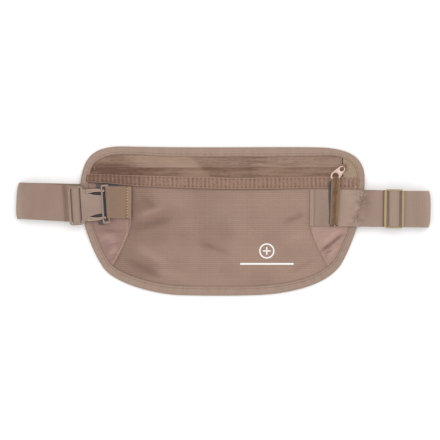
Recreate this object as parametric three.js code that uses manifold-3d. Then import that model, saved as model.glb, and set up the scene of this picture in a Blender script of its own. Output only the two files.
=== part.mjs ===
// Money belt lying flat, front upwards: zipped waist pouch, elastic strap, side buckle and adjuster.
// Millimetres. +X along the belt, +Y towards the zip edge of the pouch, +Z away from the wearer.
// The origin is on the resting surface, under the middle of the belt's box.
import * as THREE from 'three';
import { mergeVertices } from 'three/addons/utils/BufferGeometryUtils.js';
import Module from 'manifold-3d';

const wasm = await Module();
wasm.setup();

// ---------- driving dimensions ----------
const GAP = 0.3; // clearance between pieces that touch
const HALF_SPAN = 211.2; // middle of the belt to the outside of each strap fold
const STRAP_WIDTH = 37.2; // elastic webbing, nominal 38
const WEBBING = 1.0; // thickness of one webbing layer
const LAYER_STEP = WEBBING + GAP; // middle of one webbing layer to the middle of the next
const BINDING_WIDTH = 8.5; // edge tape, as seen from the front
const BINDING_CLOTH = 0.5;
const BINDING_INSET = 1.6; // pouch edge to the edge of the panels inside the binding
const BAR = 2.4; // bar thickness of the plastic fittings
const FITTING = 2.0; // height of the flat plastic fittings
const ZIP_Y = 54.2; // middle line of the zip
const ZIP_HALF_GAP = 0.8; // middle line to each tape edge
const ZIP_LEFT = -130.5; // open end of the zip
const ZIP_RIGHT = 121.2; // closed end of the zip
const CORNER = 3.5; // corner radius of the plastic strap frames
const SMALL_CORNER = 1.6; // corner radius of the receiver

// heights of the layers, from the resting surface up: [bottom, top]
const LAYER = {
  back: [3.4, 4.6],
  lining: [4.9, 5.2],
  sliderFoot: [5.5, 6.1],
  coil: [6.4, 7.2],
  tape: [7.5, 7.9],
  front: [7.5, 8.0],
  patch: [8.3, 8.8],
  hem: [8.3, 8.9],
  sliderTop: [8.3, 9.3],
  binding: [2.6, 8.8],
  ribbon: [11.7, 13.0],
};
const REAR_Z = WEBBING / 2; // middle of the outer strap layer behind the pouch
const FRONT_Z = 10.9; // middle of the outer strap layer in front of the pouch
const FITTING_Z = FRONT_Z + WEBBING / 2 + GAP; // underside of the fittings that lie on the strap

const COLOUR = {
  ripstop: 0x9f8678,
  satin: 0x9b7c71,
  binding: 0xa48d80,
  webbing: 0xa38d7f,
  tape: 0x957b6c,
  lining: 0x8d7668,
  ribbon: 0x7e614b,
  plastic: 0xa58c78,
  metal: 0xc8a89a,
};

// ---------- helpers ----------
const belt = new THREE.Group();

function finish(colour, roughness, metalness = 0) {
  return new THREE.MeshStandardMaterial({ color: colour, roughness, metalness });
}

function addPiece(name, geometry, material, parent = belt) {
  const mesh = new THREE.Mesh(geometry, material);
  mesh.name = name;
  parent.add(mesh);
  return mesh;
}

function toSolid(geometry) {
  const bare = geometry.clone();
  bare.deleteAttribute('normal');
  bare.deleteAttribute('uv');
  const merged = mergeVertices(bare, 1e-4);
  return new wasm.Manifold(new wasm.Mesh({
    numProp: 3,
    vertProperties: new Float32Array(merged.attributes.position.array),
    triVerts: new Uint32Array(merged.index.array),
  }));
}

function toGeometry(solid) {
  const mesh = solid.getMesh();
  const geometry = new THREE.BufferGeometry();
  geometry.setAttribute('position', new THREE.BufferAttribute(mesh.vertProperties, 3));
  geometry.setIndex(new THREE.BufferAttribute(mesh.triVerts, 1));
  geometry.computeVertexNormals();
  return geometry;
}

// Upright prism over a shape, between two heights.
function prism(shape, [bottom, top], curveSegments = 6) {
  const geometry = new THREE.ExtrudeGeometry(shape, {
    depth: top - bottom,
    bevelEnabled: false,
    curveSegments,
  });
  geometry.translate(0, 0, bottom);
  return geometry;
}

function box(x0, x1, y0, y1, z0, z1) {
  const geometry = new THREE.BoxGeometry(x1 - x0, y1 - y0, z1 - z0);
  geometry.translate((x0 + x1) / 2, (y0 + y1) / 2, (z0 + z1) / 2);
  return geometry;
}

function rectangle(x0, x1, y0, y1) {
  return new THREE.Shape([
    new THREE.Vector2(x0, y0),
    new THREE.Vector2(x1, y0),
    new THREE.Vector2(x1, y1),
    new THREE.Vector2(x0, y1),
  ]);
}

// Four corner arcs; each arc joins itself to the last with a straight side.
function roundedRectangle(x0, x1, y0, y1, radius) {
  const shape = new THREE.Shape();
  const quarter = Math.PI / 2;
  shape.absarc(x1 - radius, y0 + radius, radius, -quarter, 0);
  shape.absarc(x1 - radius, y1 - radius, radius, 0, quarter);
  shape.absarc(x0 + radius, y1 - radius, radius, quarter, 2 * quarter);
  shape.absarc(x0 + radius, y0 + radius, radius, 2 * quarter, 3 * quarter);
  return shape;
}

// ---------- pouch outline ----------
// Slightly slack top, rounded upper corners, sides that lean in, and a shallow rounded bottom.
function pouchOutline() {
  const outline = new THREE.Shape();
  outline.moveTo(95, 75.2);
  outline.bezierCurveTo(60, 76.0, -30, 74.2, -100, 76.1);
  outline.bezierCurveTo(-132, 76.9, -142.5, 67, -146, 42);
  outline.bezierCurveTo(-149, 6, -136.5, -28.5, -122.8, -48.2);
  outline.bezierCurveTo(-111, -64.5, -70, -75.6, -42, -76.2);
  outline.bezierCurveTo(-18, -76.8, 7, -76.9, 31, -76.2);
  outline.bezierCurveTo(68, -75.2, 106, -66, 120, -45);
  outline.bezierCurveTo(134, -22, 144, 15, 144.5, 42);
  outline.bezierCurveTo(144.5, 63, 133, 74.6, 95, 75.2);
  return outline;
}

// The outline moved inwards by a constant distance.
function insetOutline(distance, divisions = 8) {
  const points = pouchOutline().getPoints(divisions).slice(0, -1);
  const moved = points.map((point, i) => {
    const before = points[(i + points.length - 1) % points.length];
    const after = points[(i + 1) % points.length];
    const along = after.clone().sub(before).normalize();
    return new THREE.Vector2(point.x - along.y * distance, point.y + along.x * distance);
  });
  return new THREE.Shape(moved);
}

// A shape cut to the inside of the pouch outline.
function clippedToPouch(shape, layer, inset) {
  const whole = toSolid(prism(insetOutline(inset), layer));
  return toGeometry(whole.intersect(toSolid(prism(shape, layer, 10))));
}

// ---------- flat strips ----------
// A station is a place on the strip's middle surface: x, y, z, the slope angle of its run in the
// vertical plane, and its yaw seen from above.
function stripGeometry(stations, width, thickness) {
  const positions = [];
  for (const { x, y, z, slope, yaw } of stations) {
    const across = new THREE.Vector3(-Math.sin(yaw), Math.cos(yaw), 0);
    const normal = new THREE.Vector3(
      -Math.sin(slope) * Math.cos(yaw),
      -Math.sin(slope) * Math.sin(yaw),
      Math.cos(slope),
    );
    for (const [side, face] of [[-1, -1], [1, -1], [1, 1], [-1, 1]]) {
      const corner = new THREE.Vector3(x, y, z);
      corner.addScaledVector(across, side * width / 2);
      corner.addScaledVector(normal, face * thickness / 2);
      positions.push(...corner.toArray());
    }
  }
  const index = [];
  const last = (stations.length - 1) * 4;
  for (let start = 0; start < last; start += 4) {
    for (let k = 0; k < 4; k += 1) {
      const a = start + k;
      const b = start + (k + 1) % 4;
      index.push(a, b, a + 4, b, b + 4, a + 4);
    }
  }
  index.push(0, 2, 1, 0, 3, 2);
  index.push(last, last + 1, last + 2, last, last + 2, last + 3);
  const geometry = new THREE.BufferGeometry();
  geometry.setAttribute('position', new THREE.Float32BufferAttribute(positions, 3));
  geometry.setIndex(index);
  geometry.computeVertexNormals();
  return geometry;
}

const mix = (from, to, t) => from + (to - from) * t;

// ---------- elastic strap ----------
// Middle line of the strap seen from above: it lies a little askew.
const STRAP_LEFT_Y = 20.4;
const STRAP_RIGHT_Y = 11.8;
const STRAP_SEWN_X = 88.2; // end sewn to the right wing
const STRAP_SEWN_Y = 13.3;
const STRAP_BUCKLE_X = -144; // where the strap meets the buckle
const STRAP_BUCKLE_Y = 16.9;
const FOLD_RADIUS = (FRONT_Z - REAR_Z) / 2;
const FOLD_X = HALF_SPAN - WEBBING / 2 - FOLD_RADIUS; // middle of each fold
const FOLD_STEPS = 8;
const YAW_REAR = Math.atan2(STRAP_RIGHT_Y - STRAP_LEFT_Y, 2 * FOLD_X);
const YAW_RIGHT = Math.atan2(STRAP_RIGHT_Y - STRAP_SEWN_Y, FOLD_X - STRAP_SEWN_X);
const YAW_LEFT = Math.atan2(STRAP_BUCKLE_Y - STRAP_LEFT_Y, FOLD_X + STRAP_BUCKLE_X);

// Middle of the strap in front of the pouch on the adjuster's side.
function frontRightY(x) {
  const share = (x - STRAP_SEWN_X) / (FOLD_X - STRAP_SEWN_X);
  return mix(STRAP_SEWN_Y, STRAP_RIGHT_Y, share);
}

// The strap from a place in front on the right, round the right fold, behind the pouch, round the
// left fold and up to the buckle. A layer at depth 0 is the outer one.
function strapStations(startX, depth) {
  const radius = FOLD_RADIUS - depth;
  const middleZ = REAR_Z + FOLD_RADIUS;
  const stations = [{
    x: startX,
    y: frontRightY(startX),
    z: middleZ + radius,
    slope: 0,
    yaw: YAW_RIGHT,
  }];
  for (let step = 0; step <= FOLD_STEPS; step += 1) {
    const turn = Math.PI * step / FOLD_STEPS;
    stations.push({
      x: FOLD_X + radius * Math.sin(turn),
      y: STRAP_RIGHT_Y,
      z: middleZ + radius * Math.cos(turn),
      slope: -turn,
      yaw: mix(YAW_RIGHT, YAW_REAR, step / FOLD_STEPS),
    });
  }
  for (let step = 0; step <= FOLD_STEPS; step += 1) {
    const turn = Math.PI * step / FOLD_STEPS;
    stations.push({
      x: -FOLD_X - radius * Math.sin(turn),
      y: STRAP_LEFT_Y,
      z: middleZ - radius * Math.cos(turn),
      slope: -Math.PI - turn,
      yaw: mix(YAW_REAR, YAW_LEFT, step / FOLD_STEPS),
    });
  }
  stations.push({
    x: STRAP_BUCKLE_X,
    y: STRAP_BUCKLE_Y,
    z: middleZ + radius,
    slope: -2 * Math.PI,
    yaw: YAW_LEFT,
  });
  return stations;
}

// Webbing that rises out of one slit, crosses a middle bar and goes down the other slit.
// The hump is centred on the bar, in the fitting's own frame, with its feet at the fitting's base.
function webbingHump(halfLength, rise, width) {
  const shape = new THREE.Shape();
  const inner = rise - WEBBING;
  shape.moveTo(-halfLength, 0);
  shape.lineTo(-halfLength + WEBBING, 0);
  shape.quadraticCurveTo(-halfLength + WEBBING, inner, -BAR / 2, inner);
  shape.lineTo(BAR / 2, inner);
  shape.quadraticCurveTo(halfLength - WEBBING, inner, halfLength - WEBBING, 0);
  shape.lineTo(halfLength, 0);
  shape.quadraticCurveTo(halfLength, rise, BAR / 2, rise);
  shape.lineTo(-BAR / 2, rise);
  shape.quadraticCurveTo(-halfLength, rise, -halfLength, 0);
  const geometry = new THREE.ExtrudeGeometry(shape, {
    depth: width,
    bevelEnabled: false,
    curveSegments: 5,
  });
  geometry.rotateX(Math.PI / 2);
  geometry.translate(0, width / 2, 0);
  return geometry;
}

function strap() {
  const webbing = finish(COLOUR.webbing, 0.85);
  addPiece(
    'elastic_strap',
    stripGeometry(strapStations(STRAP_SEWN_X, 0), STRAP_WIDTH, WEBBING),
    webbing,
  );
  addPiece(
    'elastic_strap_return',
    stripGeometry(strapStations(TRIGLIDE_X, LAYER_STEP), STRAP_WIDTH, WEBBING),
    webbing,
  );
}

// ---------- adjuster ----------
const TRIGLIDE_X = 173.95;
const TRIGLIDE_HALF = [10.15, 19.95]; // half length along the strap, half width across it
const HUMP_HALF = 6.0; // middle of the adjuster to the outside of its webbing hump
const HUMP_RISE = FITTING + GAP + WEBBING;
const HUMP_WIDTH = STRAP_WIDTH - 1.6; // the webbing is squeezed a little in the slits

// Flat frame with a middle bar and a slit on each side of it.
function ladder(middleX, [halfLength, halfWidth], [bottom, top]) {
  const outer = roundedRectangle(
    middleX - halfLength,
    middleX + halfLength,
    -halfWidth,
    halfWidth,
    CORNER,
  );
  const slitEnd = STRAP_WIDTH / 2 - 0.4;
  const near = BAR / 2;
  const far = halfLength - BAR;
  const slit = (x0, x1) => toSolid(box(x0, x1, -slitEnd, slitEnd, bottom - 1, top + 1));
  return toSolid(prism(outer, [bottom, top]))
    .subtract(slit(middleX - far, middleX - near))
    .subtract(slit(middleX + near, middleX + far));
}

function adjuster() {
  const group = new THREE.Group();
  group.position.set(TRIGLIDE_X, frontRightY(TRIGLIDE_X), FITTING_Z);
  group.rotation.z = YAW_RIGHT;
  belt.add(group);
  const frame = toGeometry(ladder(0, TRIGLIDE_HALF, [0, FITTING]));
  addPiece('triglide', frame, finish(COLOUR.plastic, 0.45), group);
  const hump = webbingHump(HUMP_HALF, HUMP_RISE, HUMP_WIDTH);
  addPiece('triglide_webbing_loop', hump, finish(COLOUR.webbing, 0.85), group);
}

// ---------- buckle ----------
// Its own frame: origin at the mouth of the receiver, on the middle line, halfway up the plate.
// The plate lies on -X of it and slides out along -X.
const BUCKLE_X = -124.1;
const BUCKLE_Y = 16.77;
const BUCKLE_YAW = THREE.MathUtils.degToRad(3.5);
const BUCKLE_Z = FITTING_Z + FITTING / 2;
const RECEIVER_HALF_WIDTH = 19.8;
const RECEIVER_HALF_HEIGHT = 2.0;
const RECEIVER_WALL = 1.6;
const RECEIVER_END = 1.9; // wall at each end of the receiver's bar
const MOUTH_HALF_WIDTH = 14.5;
const LOOP_BAR_X = 6.6; // bar that the tab webbing wraps
const LOOP_BAR_RADIUS = 1.2;
const PLATE_HALF_WIDTH = 16.1;
const PLATE_LENGTH = 17.7;
const LADDER_X = -26.3; // middle bar of the plate's strap frame
const LADDER_HALF = [7.7, 19.7];
const PLATE_HUMP_HALF = 3.8; // the plate's slits are closer together than the adjuster's
const TONGUE_REACH = 1.5; // how far the tongue reaches into the receiver's wall
const TONGUE_HALF_WIDTH = 8.0;
const ARM_ROOT_X = -14.0; // where each latch arm bends
const ARM_REACH = 3.4; // how far the arms reach into the receiver
const ARM_OUTER_Y = MOUTH_HALF_WIDTH - GAP;
// Lens-shaped slot between the plate and each arm: the plate's edge, then the arm's inner face.
const SLOT_PLATE_EDGE = [
  [ARM_ROOT_X, 12.05], [-11, 11.3], [-8.5, 10.3], [-5.5, 9.7], [-2.5, 9.4], [-GAP, 9.2],
];
const SLOT_ARM_EDGE = [
  [ARM_REACH - 0.6, 12.6], [0, 12.9], [-2.5, 13.2], [-5.5, 13.3], [-8.5, 13.0], [-11, 12.5],
];
const ARM_ROOT_Y = 12.4;
const BARB_HEIGHT = 0.9;
const ROOT_LENGTH = 1.5; // thick root of each arm, behind its bend
const TAB_SEWN_X = 29.0; // free end of the tab webbing
const TAB_WIDTH = 32.8;
const TAB_DRIFT = 2.4; // the tab runs a little askew to the buckle

function receiver(group) {
  const wall = RECEIVER_HALF_WIDTH - RECEIVER_END;
  const high = RECEIVER_HALF_HEIGHT;
  const outer = roundedRectangle(
    0,
    LOOP_BAR_X + LOOP_BAR_RADIUS,
    -RECEIVER_HALF_WIDTH,
    RECEIVER_HALF_WIDTH,
    SMALL_CORNER,
  );
  const barSpace = box(RECEIVER_WALL, 2 * LOOP_BAR_X, -wall, wall, -3 * high, 3 * high);
  const mouthZ = FITTING / 2 + GAP;
  const mouth = box(-1, RECEIVER_WALL + 1, -MOUTH_HALF_WIDTH, MOUTH_HALF_WIDTH, -mouthZ, mouthZ);
  const bar = new THREE.CylinderGeometry(LOOP_BAR_RADIUS, LOOP_BAR_RADIUS, 2 * wall + 1, 12);
  bar.translate(LOOP_BAR_X, 0, 0);
  const body = toSolid(prism(outer, [-high, high]))
    .subtract(toSolid(barSpace))
    .subtract(toSolid(mouth))
    .add(toSolid(bar));
  addPiece('buckle_receiver', toGeometry(body), finish(COLOUR.plastic, 0.45), group);
}

function plate(group) {
  const layer = [-FITTING / 2, FITTING / 2];
  const rootEdge = ARM_ROOT_X - ROOT_LENGTH - 2 * GAP;
  const back = -PLATE_LENGTH - 2;
  const edge = [[back, SLOT_PLATE_EDGE[0][1]], ...SLOT_PLATE_EDGE];
  const lower = edge.map(([x, y]) => new THREE.Vector2(x, -y));
  const upper = edge.map(([x, y]) => new THREE.Vector2(x, y)).reverse();
  const body = toSolid(prism(new THREE.Shape([...lower, ...upper]), layer));
  const shoulders = toSolid(prism(
    rectangle(back, rootEdge, -PLATE_HALF_WIDTH, PLATE_HALF_WIDTH),
    layer,
  ));
  const tongue = toSolid(prism(
    roundedRectangle(-4, TONGUE_REACH, -TONGUE_HALF_WIDTH, TONGUE_HALF_WIDTH, 1.0),
    layer,
  ));
  const whole = ladder(LADDER_X, LADDER_HALF, layer).add(body).add(shoulders).add(tongue);
  addPiece('buckle_plate', toGeometry(whole), finish(COLOUR.plastic, 0.45), group);
  const hump = webbingHump(PLATE_HUMP_HALF, HUMP_RISE, HUMP_WIDTH);
  hump.translate(LADDER_X, 0, -FITTING / 2);
  addPiece('buckle_webbing_loop', hump, finish(COLOUR.webbing, 0.85), group);
}

// Springy side arm with a ramped barb that catches behind the receiver's wall.
function latchArm(name, side, group) {
  const shape = new THREE.Shape();
  const root = ARM_ROOT_X - ROOT_LENGTH;
  const shoulder = PLATE_HALF_WIDTH - 0.2;
  const points = [
    [root, ARM_ROOT_Y],
    [root, shoulder],
    [-GAP - 1.0, shoulder],
    [-GAP, ARM_OUTER_Y],
    [RECEIVER_WALL + 0.1, ARM_OUTER_Y],
    [ARM_REACH - 0.4, ARM_OUTER_Y + BARB_HEIGHT],
    [ARM_REACH, ARM_OUTER_Y],
    [ARM_REACH, ARM_OUTER_Y - 1.0],
    ...SLOT_ARM_EDGE,
  ];
  if (side < 0) points.reverse();
  points.forEach(([x, y], i) => {
    if (i === 0) shape.moveTo(x, side * y);
    else shape.lineTo(x, side * y);
  });
  addPiece(name, prism(shape, [-FITTING / 2, FITTING / 2]), finish(COLOUR.plastic, 0.45), group);
}

// Webbing loop round the receiver's bar, both layers sewn down on the left wing.
function tabWebbing(group) {
  const wrap = LOOP_BAR_RADIUS + GAP + WEBBING / 2;
  const lowZ = LAYER.patch[1] + GAP + WEBBING / 2 - BUCKLE_Z;
  const stations = [
    { x: TAB_SEWN_X, z: lowZ, slope: Math.PI },
    { x: LOOP_BAR_X + 9, z: lowZ, slope: Math.PI },
  ];
  for (let step = 0; step <= 8; step += 1) {
    const turn = Math.PI * step / 8;
    stations.push({
      x: LOOP_BAR_X - wrap * Math.sin(turn),
      z: -wrap * Math.cos(turn),
      slope: Math.PI - turn,
    });
  }
  stations.push({ x: LOOP_BAR_X + 10, z: lowZ + LAYER_STEP, slope: 0 });
  stations.push({ x: TAB_SEWN_X, z: lowZ + LAYER_STEP, slope: 0 });
  const placed = stations.map(({ x, z, slope }) => ({
    x,
    y: -TAB_DRIFT * x / TAB_SEWN_X,
    z,
    slope,
    yaw: 0,
  }));
  const geometry = stripGeometry(placed, TAB_WIDTH, WEBBING);
  addPiece('tab_webbing', geometry, finish(COLOUR.webbing, 0.85), group);
}

function buckle() {
  const group = new THREE.Group();
  group.position.set(BUCKLE_X, BUCKLE_Y, BUCKLE_Z);
  group.rotation.z = BUCKLE_YAW;
  belt.add(group);
  receiver(group);
  plate(group);
  latchArm('latch_arm_upper', 1, group);
  latchArm('latch_arm_lower', -1, group);
  tabWebbing(group);
}

// ---------- pouch ----------
const FRONT_TOP = 40.5; // cut edge of the front panel, under the hem band
const TAPE_BOTTOM = 41.0; // edge of the lower zip tape, under the hem band
// Edges of the hem band; it rises and widens a little towards the buckle side.
const HEM_LOWER = [
  [-150, 40.2], [-136, 39.1], [-122, 37.9], [-92, 35.4], [-44, 33.7], [11, 32.4], [55, 32.8], [87, 33.6],
  [150, 33.6],
];
const HEM_UPPER = [
  [-150, 48.0], [-131, 47.6], [-92, 46.5], [-44, 45.1], [11, 43.9], [55, 44.2], [99, 45.1], [150, 44.7],
];

function panels() {
  const ripstop = finish(COLOUR.ripstop, 0.7);
  const lining = finish(COLOUR.lining, 0.8);
  addPiece('back_panel', prism(insetOutline(BINDING_INSET), LAYER.back), ripstop);
  addPiece('inner_lining', prism(insetOutline(BINDING_INSET), LAYER.lining), lining);
  const below = rectangle(-HALF_SPAN, HALF_SPAN, -HALF_SPAN, FRONT_TOP);
  addPiece('front_panel', clippedToPouch(below, LAYER.front, BINDING_INSET), ripstop);
}

function hemBand() {
  const loop = [...HEM_LOWER, ...HEM_UPPER.toReversed()];
  const shape = new THREE.Shape(loop.map(([x, y]) => new THREE.Vector2(x, y)));
  const geometry = clippedToPouch(shape, LAYER.hem, BINDING_WIDTH + GAP);
  addPiece('hem_band', geometry, finish(COLOUR.ripstop, 0.7));
}

// Tape folded over the whole edge: a trough that holds the panels.
function binding() {
  const [bottom, top] = LAYER.binding;
  const outer = toSolid(prism(insetOutline(0), LAYER.binding));
  const window = toSolid(prism(insetOutline(BINDING_WIDTH), [bottom - 1, top + 1]));
  const trough = toSolid(prism(
    insetOutline(BINDING_INSET - GAP),
    [bottom + BINDING_CLOTH, top - BINDING_CLOTH],
  ));
  const geometry = toGeometry(outer.subtract(window).subtract(trough));
  addPiece('edge_binding', geometry, finish(COLOUR.binding, 0.8));
}

function wings() {
  const satin = finish(COLOUR.satin, 0.55);
  const left = new THREE.Shape();
  left.moveTo(-136, 38.4);
  left.lineTo(-160, 39.6);
  left.lineTo(-160, -60);
  left.lineTo(-117, -53);
  left.quadraticCurveTo(-96, -19, -94.2, 0);
  left.lineTo(-93.8, 34.9);
  left.lineTo(-122, 37.2);
  addPiece('left_wing', clippedToPouch(left, LAYER.patch, BINDING_WIDTH + GAP), satin);
  const right = new THREE.Shape();
  right.moveTo(88.2, 32.9);
  right.lineTo(88.2, -5.0);
  right.quadraticCurveTo(93, -26, 112, -56);
  right.lineTo(160, -60);
  right.lineTo(160, 32.9);
  addPiece('right_wing', clippedToPouch(right, LAYER.patch, BINDING_WIDTH + GAP), satin);
}

// ---------- zip ----------
const COIL_WIDTH = 1.6;
const STOP_LENGTH = 1.9;
const SLIDER_X = 121.9;
const SLIDER_HALF = [3.8, 3.5];
const SLIDER_CORNER = 1.2;
const BRIDGE_HALF = [3.1, 0.7];
const BRIDGE_METAL = 0.9;
const BRIDGE_OPENING = 2.0;
const BRIDGE_CORNER = 1.2;
const PIVOT = [0.6, 0.5]; // middle of the bridge, from the middle of the slider
const PIVOT_Z = LAYER.sliderTop[1] + BRIDGE_OPENING / 2;
const PULLER_YAW = THREE.MathUtils.degToRad(227.6); // direction of the puller seen from above
const PULLER_METAL = 1.0;
const HEAD_RADIUS = 3.4;
const HEAD_HOLE = 2.2;
const HEAD_REACH = (HEAD_RADIUS + HEAD_HOLE) / 2; // pivot to the middle of the head's hole
const TAIL_RADIUS = 5.0;
const TAIL_HOLE = 3.3;
const TAIL_REACH = 12.3; // pivot to the middle of the tail's hole

function zipTapes() {
  const tape = finish(COLOUR.tape, 0.85);
  const upper = rectangle(-HALF_SPAN, ZIP_RIGHT, ZIP_Y + ZIP_HALF_GAP, HALF_SPAN);
  addPiece('upper_zip_tape', clippedToPouch(upper, LAYER.tape, BINDING_INSET), tape);
  const lower = rectangle(-HALF_SPAN, ZIP_RIGHT, TAPE_BOTTOM, ZIP_Y - ZIP_HALF_GAP);
  addPiece('lower_zip_tape', clippedToPouch(lower, LAYER.tape, BINDING_INSET), tape);
  const end = rectangle(ZIP_RIGHT + GAP, HALF_SPAN, TAPE_BOTTOM, HALF_SPAN);
  addPiece('zip_end_tab', clippedToPouch(end, LAYER.tape, BINDING_INSET), tape);
}

function zipCoils() {
  const coil = finish(COLOUR.tape, 0.5);
  const [bottom, top] = LAYER.coil;
  const near = ZIP_HALF_GAP;
  const far = ZIP_HALF_GAP + COIL_WIDTH;
  addPiece('upper_zip_coil', box(ZIP_LEFT, ZIP_RIGHT, ZIP_Y + near, ZIP_Y + far, bottom, top), coil);
  addPiece('lower_zip_coil', box(ZIP_LEFT, ZIP_RIGHT, ZIP_Y - far, ZIP_Y - near, bottom, top), coil);
  const stopX = ZIP_LEFT - GAP;
  const stop = box(stopX - STOP_LENGTH, stopX, ZIP_Y - far, ZIP_Y + far, bottom, top);
  addPiece('zip_open_stop', stop, coil);
}

// Slider: two plates joined by a post that runs between the coils, and a bridge for the puller.
function slider() {
  const [halfX, halfY] = SLIDER_HALF;
  const plan = roundedRectangle(-halfX, halfX, -halfY, halfY, SLIDER_CORNER);
  const top = toSolid(prism(plan, LAYER.sliderTop));
  const foot = toSolid(prism(plan, LAYER.sliderFoot));
  const post = toSolid(box(
    -halfX + 0.4,
    -1.0,
    -ZIP_HALF_GAP + GAP,
    ZIP_HALF_GAP - GAP,
    LAYER.sliderFoot[0] + 0.1,
    LAYER.sliderTop[1] - 0.1,
  ));
  const base = LAYER.sliderTop[1];
  const arch = new THREE.Shape();
  const reach = BRIDGE_HALF[0];
  const crown = BRIDGE_OPENING + BRIDGE_METAL;
  const leg = reach - BRIDGE_METAL;
  const root = -0.2; // the legs are sunk a little into the top plate
  arch.moveTo(-reach, root);
  arch.lineTo(-leg, root);
  arch.lineTo(-leg, BRIDGE_OPENING);
  arch.lineTo(leg, BRIDGE_OPENING);
  arch.lineTo(leg, root);
  arch.lineTo(reach, root);
  arch.lineTo(reach, BRIDGE_OPENING);
  arch.quadraticCurveTo(reach, crown, reach - BRIDGE_CORNER, crown);
  arch.lineTo(-reach + BRIDGE_CORNER, crown);
  arch.quadraticCurveTo(-reach, crown, -reach, BRIDGE_OPENING);
  const bridge = new THREE.ExtrudeGeometry(arch, {
    depth: 2 * BRIDGE_HALF[1],
    bevelEnabled: false,
    curveSegments: 4,
  });
  bridge.translate(0, 0, -BRIDGE_HALF[1]);
  bridge.rotateX(Math.PI / 2);
  bridge.rotateZ(PULLER_YAW);
  bridge.translate(...PIVOT, base);
  const body = top.add(foot).add(post).add(toSolid(bridge));
  const mesh = addPiece('zip_slider', toGeometry(body), finish(COLOUR.metal, 0.3, 1));
  mesh.position.set(SLIDER_X, ZIP_Y, 0);
}

// Flat drop-shaped puller: a small eye on the bridge and a wider tail with a hole for the ribbon.
function puller() {
  const half = PULLER_METAL / 2;
  const tangent = Math.acos((HEAD_RADIUS - TAIL_RADIUS) / (TAIL_REACH - HEAD_REACH));
  const drop = new THREE.Shape();
  drop.absarc(HEAD_REACH, 0, HEAD_RADIUS, tangent, 2 * Math.PI - tangent);
  drop.absarc(TAIL_REACH, 0, TAIL_RADIUS, -tangent, tangent);
  const hole = (x, radius) => {
    const shape = new THREE.Shape();
    shape.absarc(x, 0, radius, 0, Math.PI * 2);
    return toSolid(prism(shape, [-2 * half, 2 * half], 12));
  };
  const solid = toSolid(prism(drop, [-half, half], 8))
    .subtract(hole(HEAD_REACH, HEAD_HOLE))
    .subtract(hole(TAIL_REACH, TAIL_HOLE));
  const mesh = addPiece('zip_puller', toGeometry(solid), finish(COLOUR.metal, 0.3, 1));
  mesh.position.set(SLIDER_X + PIVOT[0], ZIP_Y + PIVOT[1], PIVOT_Z);
  mesh.rotation.z = PULLER_YAW;
}

// Folded ribbon that hangs from the puller across the hem and the end of the strap.
function ribbon() {
  const shape = new THREE.Shape([
    new THREE.Vector2(108.6, -4.4),
    new THREE.Vector2(116.4, -4.4),
    new THREE.Vector2(118.4, 38.6),
    new THREE.Vector2(109.9, 38.6),
  ]);
  addPiece('pull_ribbon', prism(shape, LAYER.ribbon), finish(COLOUR.ribbon, 0.9));
}

panels();
hemBand();
binding();
wings();
zipTapes();
zipCoils();
slider();
puller();
ribbon();
strap();
adjuster();
buckle();

export default belt;
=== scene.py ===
"""Money belt lying flat, front upwards: cloth, webbing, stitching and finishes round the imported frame."""
import math

import bmesh
import bpy
import numpy as np
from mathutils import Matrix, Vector, noise


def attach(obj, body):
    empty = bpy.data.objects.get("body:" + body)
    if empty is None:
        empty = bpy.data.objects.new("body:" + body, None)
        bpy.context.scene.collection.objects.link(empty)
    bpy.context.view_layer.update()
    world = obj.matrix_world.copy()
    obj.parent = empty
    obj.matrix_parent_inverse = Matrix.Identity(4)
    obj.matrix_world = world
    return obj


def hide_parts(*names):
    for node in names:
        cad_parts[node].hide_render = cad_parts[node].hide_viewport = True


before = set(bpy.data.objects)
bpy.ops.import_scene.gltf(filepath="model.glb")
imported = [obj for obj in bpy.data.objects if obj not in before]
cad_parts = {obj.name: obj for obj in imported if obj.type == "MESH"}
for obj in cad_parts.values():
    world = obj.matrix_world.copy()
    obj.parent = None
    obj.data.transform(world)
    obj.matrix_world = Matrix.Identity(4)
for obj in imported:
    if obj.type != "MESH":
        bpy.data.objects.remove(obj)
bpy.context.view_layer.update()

MM = 0.001  # every length below is in millimetres until a mesh is made

# ---------- driving dimensions, the same as the CAD model's ----------
HALF_SPAN = 211.2
STRAP_WIDTH = 37.2
WEBBING = 1.0
ZIP_Y = 54.2
ZIP_LEFT = -130.5
ZIP_RIGHT = 121.2
FRONT_Z = 10.9
REAR_Z = 0.5
FITTING_Z = 11.7
TRIGLIDE_X = 173.95
BUCKLE_AT = (-124.1, 16.77)
BUCKLE_YAW = math.radians(3.5)
FOLD_RADIUS = (FRONT_Z - REAR_Z) / 2
FOLD_X = HALF_SPAN - WEBBING / 2 - FOLD_RADIUS
STRAP_LEFT_Y = 20.4
STRAP_RIGHT_Y = 11.8
STRAP_SEWN = (88.2, 13.3)
STRAP_BUCKLE = (-144.0, 16.9)
YAW_RIGHT = math.atan2(STRAP_RIGHT_Y - STRAP_SEWN[1], FOLD_X - STRAP_SEWN[0])

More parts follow.
